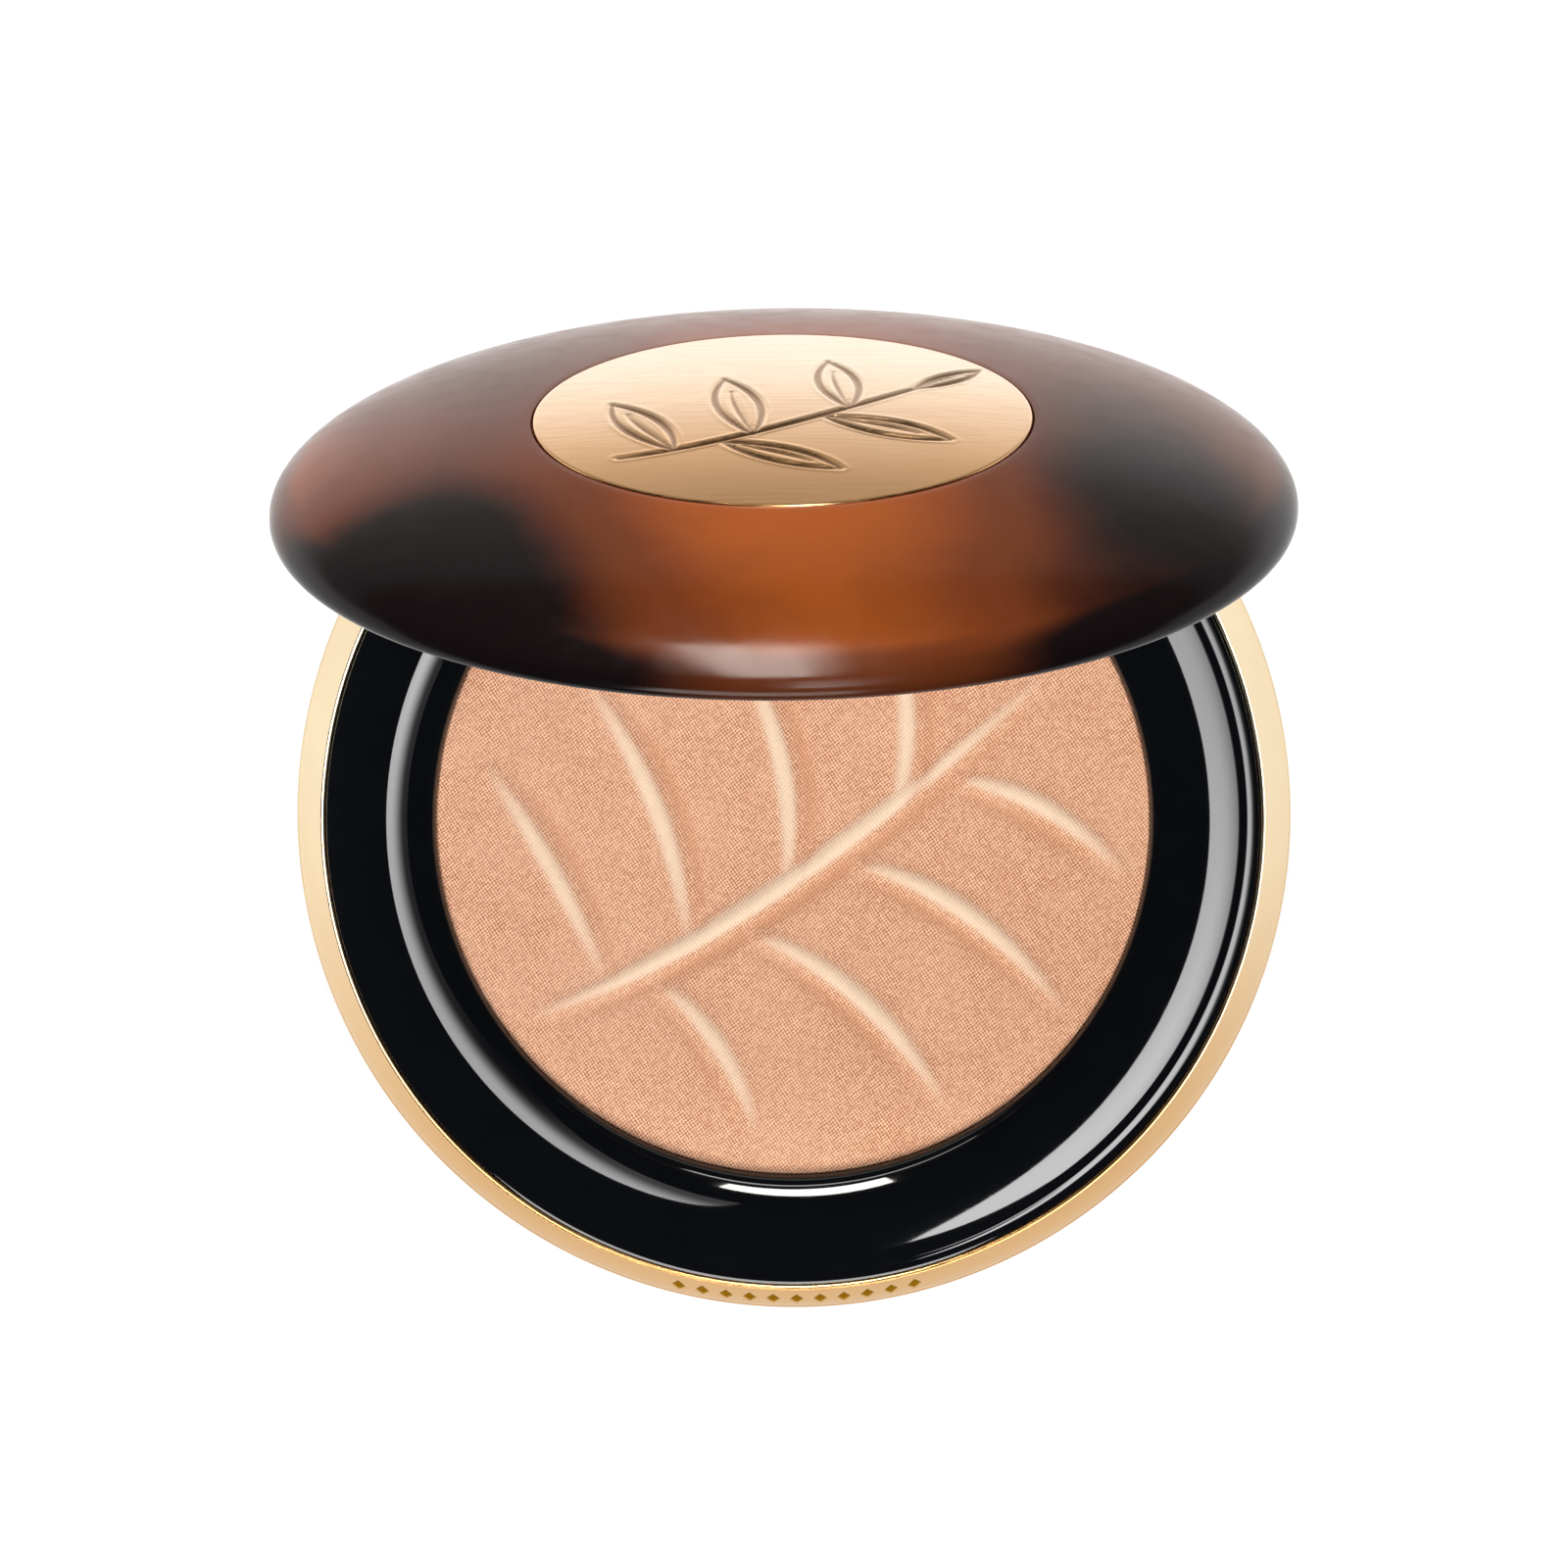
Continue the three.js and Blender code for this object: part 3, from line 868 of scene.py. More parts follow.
@dataclass(frozen=True)
class SoftMatter:
    """Glue, tape, label stock or a soft pad: matt, slightly uneven."""

    name: str
    colour: Colour
    roughness: float = 0.6
    grain: float = 900.0
    depth: float = 0.01

    def build(self) -> bpy.types.Material:
        """Plain tone varied by two noises, the finer one also in the bump.

        Returns:
            The material.
        """
        s = Sketch(self.name)
        at = s.place()
        fine = s.noise(at, self.grain, 4.0, 0.6)
        s.feed("Base Color", s.blend(fine, self.colour, tuple(c * 0.88 for c in self.colour)))
        broad = s.noise(at, 200, 2.0)
        s.feed("Roughness", s.span(broad, 0.3, 0.7, self.roughness - 0.08, self.roughness + 0.08))
        s.bump(fine, self.depth)
        return s.material


@dataclass(frozen=True)
class Silvering:
    """Mirror glass seen as its silvered back, with a breath of smear."""

    name: str

    def build(self) -> bpy.types.Material:
        """Metal of almost no roughness, drifting with noise.

        Returns:
            The material.
        """
        s = Sketch(self.name)
        smear = s.noise(s.place(scale=(1, 3, 1)), 70, 3.0)
        s.feed("Base Color", s.blend(smear, (0.88, 0.90, 0.905), (0.84, 0.865, 0.87)))
        s.feed("Roughness", s.span(smear, 0.5, 0.8, 0.008, 0.04))
        s.set(Metallic=1.0)
        return s.material


# ---------------------------------------------------------------------------------------------------------
# Base
# ---------------------------------------------------------------------------------------------------------
@dataclass
class BaseCase:
    """Lower case, its gold band and the blank label in its foot."""

    foot_radius: float = 27.5
    label_radius: float = 20.0
    label_thickness: float = 0.3
    shoulder: float = 4.9
    floor: float = 1.8
    band_floor: float = 8.2
    flank_rows: int = 70
    back_rows: int = 7
    fine_turn: float = 0.3
    lozenge_pitch: float = 1.9
    lozenge_half: float = 0.62
    lozenge_rise: float = 1.45
    lozenge_height: float = 8.4
    lozenge_row: float = 10.4
    lozenge_depth: float = 0.1

    def shell_profile(self) -> np.ndarray:
        """Foot, outside quarter ellipse, shoulder, spigot and inside of the lower case.

        Returns:
            The profile as (radius, height), from the axis outwards and back to it.
        """
        outer = quarter((self.foot_radius, 0.0), (CASE_RADIUS - 0.2, self.shoulder), False, 22)
        inner = quarter((37.2, 5.4), (27.0, self.floor), True, 10)
        label = self.label_radius + 0.3
        top = self.label_thickness + 0.1
        foot = [[0.0, top], [label - 0.05, top], [label, top - 0.05], [label, 0.05], [label + 0.08, 0.0],
                [self.foot_radius - 0.4, 0.0]]
        spigot = [[CASE_RADIUS - 1.1, self.shoulder], [38.3, 8.5], [37.4, 9.75], [37.3, 9.8], [36.4, 9.8],
                  [36.3, 9.7], [36.8, 8.0]]
        return np.vstack([foot, outer, spigot, inner, [[0.0, self.floor]]])

    def build_shell(self, finish: bpy.types.Material) -> None:
        """Revolve the lower case, cut down at the hinge.

        Args:
            finish: Finish of the piece.
        """
        profile = self.shell_profile()
        angles, inside = turn_angles(NOTCH_TURN)
        cut = clipped(profile, 1, self.band_floor - 0.2, True)
        points, quads = revolved(profile, angles, cut, inside)
        make_piece("case_shell", points, quads, Body.BASE, finish, ["base_shell"])

    def band_profile(self) -> np.ndarray:
        """Section of the band: foot bead, bellied flank, small chamfers beside a narrow top, hollow back.

        Formula of the flank: its radius falls by 2 mm with the 1.25th power of its rise.

        Returns:
            The closed profile as (radius, height).
        """
        rise = np.linspace(0, 1, self.flank_rows)
        foot = [[39.2, 5.0], [39.88, 5.0], [39.97, 5.04], [CASE_RADIUS, 5.1], [39.98, 5.16], [39.94, 5.2]]
        flank = np.c_[39.9 - 2.0 * rise ** 1.25, 5.24 + 5.64 * rise]
        back = [[37.87, 10.93], [37.84, 10.94], [37.56, 10.9], [37.5, 10.84], [37.5, 10.2], [38.5, 8.72],
                [39.08, 5.1]]
        return np.vstack([foot, flank, back])

    def lozenges(self, points: np.ndarray) -> np.ndarray:
        """How deeply each point of the band is engraved.

        Formula: 1 where |x from the nearest middle| / a + |z from the row| / b is well under one, 0 where it
        is over one, sloping between.

        Args:
            points: Points of the band.

        Returns:
            Engraving from 0 to 1.
        """
        x, y, z = points[..., 0], points[..., 1], points[..., 2]
        across = np.abs((x / self.lozenge_pitch + 0.5) % 1.0 - 0.5) * self.lozenge_pitch / self.lozenge_half
        up = np.abs(z - self.lozenge_height) / self.lozenge_rise
        return np.clip((1 - across - up) / 0.3, 0, 1) * (np.abs(x) < self.lozenge_row) * (y < 0)

    def build_band(self, finish: bpy.types.Material) -> None:
        """Revolve the band, closely enough at the front to engrave a short row of lozenges.

        Args:
            finish: Finish of the piece.
        """
        loop = self.band_profile()
        angles, inside = turn_angles(NOTCH_TURN, 320)
        front = 1.5 * math.pi + np.linspace(-self.fine_turn, self.fine_turn, 240)
        angles = np.r_[angles[inside], np.sort(np.r_[angles[~inside], front])]
        inside = np.arange(len(angles)) < inside.sum()
        cut = clipped(loop, 1, self.band_floor, True)
        points, quads = revolved(loop, angles, cut, inside)
        visible = np.repeat(np.arange(len(loop)) < len(loop) - self.back_rows, len(angles))
        engraved = self.lozenges(points) * visible
        radius = np.hypot(points[:, 0], points[:, 1])
        points[:, :2] *= (1 - self.lozenge_depth * engraved / radius)[:, None]
        make_piece("gold_band", points, quads, Body.BASE, finish, ["rim_band"], relief=engraved)

    def build_label(self, finish: bpy.types.Material) -> None:
        """Blank disc with a pressed ring near its edge.

        Args:
            finish: Finish of the piece.
        """
        radius, thick = self.label_radius, self.label_thickness
        line = np.array([[0.0, 0.0], [radius - 1.6, 0.0], [radius - 1.45, 0.05], [radius - 1.2, 0.05],
                         [radius - 1.05, 0.0], [radius - 0.08, 0.0], [radius, 0.08], [radius, thick - 0.05],
                         [radius - 0.05, thick], [0.0, thick]])
        angles, _ = turn_angles(count=160)
        points, quads = revolved(line, angles)
        make_piece("foot_label", points, quads, Body.BASE, finish, ["underside_label"])


@dataclass
class PowderWell:
    """Glossy frame and the pressed powder inside it."""

    opening: float = 28.65
    edge: float = 37.4
    crown: float = 33.3
    crown_top: float = 11.6
    powder_top: float = 9.86
    knuckle_gap: float = 4.3
    ridge_height: float = 0.36
    ridge_width: float = 0.78
    rings: int = 190
    spokes: int = 420

    def frame_profile(self) -> np.ndarray:
        """Section of the frame.

        Formula: the height is the crown's, less the running sum of tan(slope) outwards and inwards, where
        the slope grows slowly out to the groove and more quickly in to the powder; a low lip rings it all.

        Returns:
            The closed section, from the inner edge round underneath and back over the top.
        """
        steps = np.linspace(0, 1, 60)
        out = self.crown + (36.5 - self.crown) * steps
        out_slope = np.interp(out, (33.3, 35.7, 35.85, 36.35, 36.5), (0, 6.6, 14, 14, 0))
        inward = self.crown + (self.opening - self.crown) * steps
        bends = (-33.3, -32.75, -31.9, -31.3, -30.8, -30.4, -29.95, -29.5, -29.0, -28.65)
        in_slope = np.interp(-inward, bends, (0, 1.75, 8, 12, 15, 16.4, 17.8, 21, 34, 80))
        fall = []
        for radius, slope in ((out, out_slope), (inward, in_slope)):
            tangent = np.tan(np.radians(slope))
            step = np.abs(np.diff(radius)) * (tangent[1:] + tangent[:-1]) / 2
            fall.append(self.crown_top - np.r_[0.0, np.cumsum(step)])
        lip = np.linspace(self.edge - 0.1, 36.54, 8)
        edge_top = fall[0][-1] - 0.2 * (lip - 36.5) ** 2
        under = [[self.opening, 9.46], [self.opening + 0.06, 9.4], [31.15, 9.4], [31.15, 8.2], [32.35, 8.2],
                 [32.35, 9.9], [self.edge - 0.05, 9.9], [self.edge, 9.95], [self.edge, edge_top[0] - 0.1],
                 [self.edge - 0.03, edge_top[0] - 0.03]]
        return np.vstack([under, np.c_[lip, edge_top], np.c_[out, fall[0]][::-1], np.c_[inward, fall[1]][1:]])

    def build_frame(self, finish: bpy.types.Material) -> None:
        """Revolve the frame, open in the middle of the hinge for the lid's knuckle.

        Args:
            finish: Finish of the piece.
        """
        profile = self.frame_profile()
        angles, inside = turn_angles(math.asin(self.knuckle_gap / NOTCH_FRONT), 384)
        cut = clipped(profile, 0, NOTCH_FRONT, True)
        points, quads = revolved(profile, angles, cut, inside)
        make_piece("gloss_frame", points, quads, Body.BASE, finish, ["pan_frame"])

    def veins(self) -> list[tuple[np.ndarray, float]]:
        """Leaf veins pressed into the powder: a midrib and side veins, each with its strength.

        Returns:
            Each vein as a line, with its strength.
        """
        return [
            (bend((-22, -16), (-3, -10), (22, 13), 26), 1.15),
            (bend((-15, -13.4), (-19, -3), (-25, 5)), 0.9),
            (bend((-8.5, -10.6), (-9, 1), (-17, 12)), 1.0),
            (bend((-1, -6.8), (1.5, 4), (-5, 15)), 1.0),
            (bend((7.5, -0.8), (11, 7), (7.5, 17)), 0.9),
            (bend((-12, -12.3), (-5, -17), (-3, -26)), 0.85),
            (bend((-4.5, -8.8), (6, -12), (12.5, -24)), 1.0),
            (bend((4, -3.4), (14, -5), (22, -16)), 1.0),
            (bend((12, 3.2), (20, 3), (27, -5)), 0.9),
        ]

    def relief(self, x: np.ndarray, y: np.ndarray) -> np.ndarray:
        """Height of the pressed face.

        Formula: each vein adds strength exp(-(d/width)^2), fading to nothing at both ends, less a shallow
        hollow along its lower side; the highest vein wins where they meet.

        Args:
            x: Across, in millimetres.
            y: Towards the hinge.

        Returns:
            Relief, about 1 on a strong vein and below 0 in the hollows.
        """
        plane = np.c_[x.ravel(), y.ravel()]
        ridge, hollow = np.zeros(len(plane)), np.zeros(len(plane))
        for line, strength in self.veins():
            distance, along, side = nearest_line(plane, line)
            fade = np.clip(np.sin(np.pi * np.clip(along, 0.0, 1.0)), 0, 1) ** 0.6
            width = self.ridge_width * (0.55 + 0.6 * fade)
            ridge = np.maximum(ridge, strength * fade * np.exp(-(distance / width) ** 2))
            low = np.exp(-((distance - 1.9 * width) / (0.9 * width)) ** 2) * (side < 0)
            hollow = np.maximum(hollow, 0.5 * strength * fade * low)
        return (ridge - hollow).reshape(x.shape)

    def build_cake(self, finish: bpy.types.Material) -> None:
        """Powder body: flat underneath, stepped under the frame, relief over its face.

        Args:
            finish: Finish of the piece.
        """
        angles = np.linspace(0, 2 * math.pi, self.spokes, endpoint=False)
        face = np.linspace(self.opening - 0.12, 0.0, self.rings)
        under = np.array([[0.0, 5.6], [28.7, 5.6], [29.0, 5.9], [29.0, 9.25], [28.95, 9.3], [28.55, 9.3],
                          [28.53, self.powder_top - 0.15]])
        radius = np.r_[under[:, 0], face]
        height = np.repeat(np.r_[under[:, 1], np.full(len(face), self.powder_top)][:, None], len(angles), 1)
        x, y = np.outer(face, np.cos(angles)), np.outer(face, np.sin(angles))
        rim = np.clip((self.opening - 0.1 - face) / 1.2, 0, 1)[:, None]
        settle = 0.1 * (1 - rim) ** 2
        pressed = self.relief(x, y) * np.clip(rim * 1.5, 0, 1)
        height[len(under):] += self.ridge_height * pressed - settle
        points = polar(radius[:, None], angles, height)
        quads = lattice(len(radius), len(angles), False, True)
        relief = np.vstack([np.zeros((len(under), len(angles))), pressed])
        make_piece("pressed_powder", points, quads, Body.BASE, finish, ["powder_cake"],
                   relief=relief)


@dataclass
class Hinge:
    """Barrels on the frame, the lid's knuckle between them and the pin through all three."""

    barrel: float = 2.08
    bore: float = 0.85
    bore_depth: float = 1.2
    bore_mouth: float = 0.05
    web_front: float = 33.6
    pin: float = 0.7
    ear_start: float = 4.3
    ear_end: float = 12.85
    knuckle_half: float = 4.0

    def outline(self, web_low: float, web_high: float) -> np.ndarray:
        """Barrel with a flat web to the front, as a loop of (y, z).

        Formula: a circle about the axis, joined by straight lines to the web's two front corners.

        Args:
            web_low: Height of the web's underside.
            web_high: Height of its top.

        Returns:
            The loop.
        """
        top = math.asin((web_high - HINGE_Z) / self.barrel)
        low = math.asin((web_low - HINGE_Z) / self.barrel)
        turn = np.linspace(math.pi - top, -math.pi - low, 56)
        round_part = np.c_[HINGE_Y + self.barrel * np.cos(turn), HINGE_Z + self.barrel * np.sin(turn)]
        depth = np.linspace(0, 1, 5)[:, None]
        low_corner, high_corner = np.array([self.web_front, web_low]), np.array([self.web_front, web_high])
        low_edge = round_part[-1] + (low_corner - round_part[-1]) * depth[1:]
        high_edge = high_corner + (round_part[0] - high_corner) * depth[:-1]
        return np.vstack([round_part, low_edge, high_edge])

    def carried(self, outline: np.ndarray, start: float, stop: float) -> tuple[np.ndarray, np.ndarray]:
        """Outline carried along the hinge axis, with rounded ends and the pin's bore in each.

        Formula: each row is the outline drawn in towards the axis by a distance, or the circle of the bore,
        at a place along the axis; the far end is the near one mirrored.

        Args:
            outline: Loop of (y, z).
            start: One end along X.
            stop: Other end.

        Returns:
            Points and quads.
        """
        axis = np.array([HINGE_Y, HINGE_Z])
        ray = outline - axis
        length = np.linalg.norm(ray, axis=1)[:, None]
        unit = ray / length
        same = np.ones(len(outline))
        shrink = (0.22, 0.08, 0.02, 0.0)
        inset = (0.0, 0.06, 0.16, 0.32)
        rows = [np.c_[same * (start + self.bore_depth), np.tile(axis, (len(outline), 1))],
                np.c_[same * (start + self.bore_depth), axis + unit * self.bore],
                np.c_[same * (start + self.bore_mouth), axis + unit * self.bore]]
        rows += [np.c_[same * (start + i), axis + ray - unit * s] for s, i in zip(shrink, inset)]
        rows += [np.c_[start + stop - row[:, 0], row[:, 1:]] for row in rows[::-1]]
        return np.vstack(rows), lattice(len(rows), len(outline), False, True)

    def build(self, gloss: bpy.types.Material, satin: bpy.types.Material, steel: bpy.types.Material) -> None:
        """Make both barrels, the knuckle and the pin.

        Args:
            gloss: Finish of the barrels.
            satin: Finish of the knuckle.
            steel: Finish of the pin.
        """
        ear = self.outline(9.25, 10.95)
        for name, low, high in (("barrel_left", -self.ear_end, -self.ear_start),
                                ("barrel_right", self.ear_start, self.ear_end)):
            points, quads = self.carried(ear, low, high)
            make_piece(name, points, quads, Body.BASE, gloss)
        points, quads = self.carried(self.outline(12.05, 13.25), -self.knuckle_half, self.knuckle_half)
        make_piece("lid_knuckle", opened(points), quads, Body.LID, satin)
        half = self.ear_end - 0.1
        line = np.array([[0.0, -half], [0.5, -half], [self.pin, -half + 0.2], [self.pin, half - 0.2],
                         [0.5, half], [0.0, half]])
        angles, _ = turn_angles(count=32)
        points, quads = revolved(line, angles)
        points = np.c_[points[:, 2], points[:, 0] + HINGE_Y, points[:, 1] + HINGE_Z]
        make_piece("steel_pin", points, quads, Body.BASE, steel, ["hinge_pin"])


# ---------------------------------------------------------------------------------------------------------
# Lid
# ---------------------------------------------------------------------------------------------------------
@dataclass
class Lid:
    """Domed shell, engraved emblem, inner cover, mirror and bumpers."""

    radius: float = 39.92
    wall: float = 1.45
    recess_radius: float = 19.5
    recess_floor: float = 18.49
    emblem_radius: float = 19.35
    emblem_bottom: float = 18.79
    emblem_edge: float = 19.59
    emblem_crown: float = 0.8
    emblem_rings: int = 130
    emblem_spokes: int = 620
    notch_top: float = 13.9
    groove: float = 0.2
    groove_half: float = 0.3
    burr: float = 0.035
    cover_face: float = 12.0
    cover_radius: float = 38.35
    mirror_radius: float = 32.2
    mirror_face: float = 12.3
    bumper_radius: float = 1.2

    def build_shell(self, finish: bpy.types.Material) -> None:
        """Revolve the dome with its recess, rounded bottom edge and inside.

        Args:
            finish: Finish of the piece.
        """
        inner_radius, inner_rise = CASE_RADIUS - self.wall, LID_RISE - self.wall
        inside_top = self.recess_floor - self.wall
        flat = inner_radius * math.sqrt(1 - ((inside_top - LID_WIDEST) / inner_rise) ** 2)
        outer = dome_curve(self.radius, LID_RISE, self.radius, self.recess_radius + 0.12, 60)
        brow = outer[-1, 1]
        recess = [[self.recess_radius + 0.03, brow - 0.01], [self.recess_radius, brow - 0.06],
                  [self.recess_radius, self.recess_floor + 0.03],
                  [self.recess_radius - 0.05, self.recess_floor], [0.0, self.recess_floor]]
        line = np.vstack([[[0.0, inside_top]], dome_curve(inner_radius, inner_rise, flat, inner_radius, 12),
                          [[inner_radius, 11.38], [inner_radius + 0.08, 11.3], [39.2, 11.3]],
                          quarter((39.35, 11.31), (self.radius, LID_WIDEST), False, 8), outer[1:], recess])
        angles, inside = turn_angles(NOTCH_TURN, 400)
        cut = clipped(line, 1, self.notch_top, False)
        points, quads = revolved(line, angles, cut, inside)
        make_piece("lid_dome", opened(points), quads, Body.LID, finish, ["lid_shell"])

    def sprig(self) -> list[tuple[np.ndarray, float]]:
        """Leaf sprig engraved in the emblem: a stem, leaf outlines and their midribs, with line strengths.

        Returns:
            Each engraved line, with its strength.
        """
        lines = [(bend((-12.5, -9.5), (-2, -7.5), (11.5, 6.5), 24), 1.0)]
        leaves = (((-8.2, -8.3), (-13.2, 2.2), 3.0), ((-4.6, -6.9), (4.6, -12.4), 2.6),
                  ((-2.2, -5.5), (-4.6, 7.2), 3.3), ((3.2, -1.6), (13.0, -6.0), 2.9),
                  ((5.2, 0.4), (3.4, 11.6), 3.0), ((10.2, 5.2), (15.2, 10.4), 1.6))
        for base, tip, wide in leaves:
            root, end = np.array(base), np.array(tip)
            across = np.array([root[1] - end[1], end[0] - root[0]]) / np.linalg.norm(end - root)
            middle = root * 0.45 + end * 0.55
            lines += [(bend(root, middle + across * wide, end), 1.0),
                      (bend(root, middle - across * wide, end), 1.0),
                      (bend(root, middle + across * 0.5, root * 0.25 + end * 0.75), 0.6)]
        return lines

    def build_emblem(self, finish: bpy.types.Material) -> None:
        """Emblem disc, gently domed, with round-bottomed engraved lines.

        Formula: edge height + crown (1 - (r/R)^2) - groove exp(-(d/w)^2) + a small burr beside each line.

        Args:
            finish: Finish of the piece.
        """
        angles = np.linspace(0, 2 * math.pi, self.emblem_spokes, endpoint=False)
        face = np.linspace(self.emblem_radius - 0.14, 0.0, self.emblem_rings)
        x, y = np.outer(face, np.cos(angles)), np.outer(face, np.sin(angles))
        plane = np.c_[x.ravel(), y.ravel()]
        depth = np.zeros(len(plane))
        burr = np.zeros(len(plane))
        for line, strength in self.sprig():
            distance, along, _ = nearest_line(plane, line)
            taper = strength * (0.45 + 0.55 * np.sin(np.pi * np.clip(along * 0.94 + 0.03, 0, 1)))
            width = self.groove_half * (0.6 + 0.4 * taper)
            depth = np.maximum(depth, taper * np.exp(-(distance / width) ** 2))
            burr = np.maximum(burr, taper * np.exp(-((distance - 0.62) / 0.2) ** 2))
        burr = burr * (depth < 0.25)
        height = self.emblem_edge + self.emblem_crown * (1 - (np.hypot(x, y) / self.emblem_radius) ** 2)
        height = height - self.groove * depth.reshape(x.shape) + self.burr * burr.reshape(x.shape)
        skirt = np.array([[0.0, self.emblem_bottom], [self.emblem_radius - 0.05, self.emblem_bottom],
                          [self.emblem_radius, self.emblem_bottom + 0.05],
                          [self.emblem_radius, self.emblem_edge - 0.14],
                          [self.emblem_radius - 0.04, self.emblem_edge - 0.04]])
        radius = np.r_[skirt[:, 0], face]
        tall = np.vstack([np.repeat(skirt[:, 1][:, None], len(angles), 1), height])
        points = polar(radius[:, None], angles, tall)
        quads = lattice(len(radius), len(angles), False, True)
        relief = np.vstack([np.zeros((len(skirt), len(angles))), depth.reshape(x.shape)])
        make_piece("emblem_plate", opened(points), quads, Body.LID, finish, ["emblem_disc"],
                   relief=relief)

    def build_cover(self, finish: bpy.types.Material) -> None:
        """Inner cover: flat ring with the mirror's recess, cut back at the hinge.

        Args:
            finish: Finish of the piece.
        """
        face, recess = self.cover_face, self.mirror_radius + 0.2
        loop = fillet([[0.0, 14.05], [recess, 14.05], [recess, face], [self.cover_radius, face],
                       [self.cover_radius - 0.5, face + 1.3], [33.9, face + 1.3], [33.9, 14.55], [33.2, 15.2],
                       [0.0, 15.2]], 0.18)
        angles, inside = turn_angles(NOTCH_TURN)
        cut = clipped(loop, 0, NOTCH_FRONT, True)
        points, quads = revolved(loop, angles, cut, inside)
        make_piece("lid_cover", opened(points), quads, Body.LID, finish, ["mirror_frame"])

    def build_mirror(self, finish: bpy.types.Material) -> None:
        """Round mirror with a narrow ground bevel.

        Args:
            finish: Finish of the piece.
        """
        radius, face = self.mirror_radius, self.mirror_face
        line = np.array([[0.0, face], [radius - 0.9, face], [radius - 0.85, face + 0.005],
                         [radius - 0.12, face + 0.2], [radius, face + 0.3], [radius, face + 1.22],
                         [radius - 0.08, face + 1.3], [0.0, face + 1.3]])
        angles, _ = turn_angles(count=256)
        points, quads = revolved(line, angles)
        make_piece("round_mirror", opened(points), quads, Body.LID, finish, ["mirror"])

    def build_bumpers(self, finish: bpy.types.Material) -> None:
        """Two small domed pads near the lid's free edge.

        Args:
            finish: Finish of the piece.
        """
        turn = np.linspace(0, math.pi / 2, 7)
        radius, low, foot = self.bumper_radius, self.cover_face - 0.35, self.cover_face + 0.55
        line = np.vstack([np.c_[radius * np.sin(turn), low + 0.33 * (1 - np.cos(turn))],
                          [[radius, foot - 0.04], [radius - 0.04, foot], [0.0, foot]]])
        angles, _ = turn_angles(count=36)
        points, quads = revolved(line, angles)
        ring = (self.mirror_radius + self.cover_radius) / 2
        for name, degrees, node in (("pad_left", -38.0, "bumper_left"), ("pad_right", 38.0, "bumper_right")):
            place = math.radians(degrees)
            shift = np.array([ring * math.sin(place), -ring * math.cos(place), 0.0])
            make_piece(name, opened(points + shift), quads, Body.LID, finish, [node])


# ---------------------------------------------------------------------------------------------------------
# Studio
# ---------------------------------------------------------------------------------------------------------
@dataclass
class Softbox:
    """Rectangular soft light: where it stands, what it faces, its size in metres and its power."""

    name: str
    at: tuple[float, float, float]
    wide: float
    tall: float
    watts: float
    tint: Colour = (1.0, 1.0, 1.0)
    facing: tuple[float, float, float] = (0.0, 0.0, 0.01)

    def build(self) -> None:
        """Add the light."""
        data = bpy.data.lights.new(self.name, "AREA")
        data.shape = "RECTANGLE"
        data.size, data.size_y = self.wide, self.tall
        data.energy, data.color = self.watts, self.tint
        lamp = bpy.data.objects.new(self.name, data)
        lamp.location = self.at
        lamp.rotation_mode = "QUATERNION"
        lamp.rotation_quaternion = (Vector(self.facing) - Vector(self.at)).to_track_quat("-Z", "Y")
        bpy.context.scene.collection.objects.link(lamp)


def stage_sheet(name: str, points: np.ndarray, upwards: bool, material: bpy.types.Material) -> None:
    """Make a square grid of points into a sheet of the stage.

    Args:
        name: Name of the sheet.
        points: Grid of points in metres.
        upwards: Whether it faces up rather than down.
        material: Its finish.
    """
    mesh = bpy.data.meshes.new(name)
    faces = lattice(points.shape[0], points.shape[1], False, False)
    mesh.from_pydata(points.reshape(-1, 3).tolist(), [], faces.tolist())
    if (mesh.polygons[0].normal.z > 0) != upwards:
        mesh.flip_normals()
    mesh.materials.append(material)
    sheet = bpy.data.objects.new(name, mesh)
    bpy.context.scene.collection.objects.link(sheet)


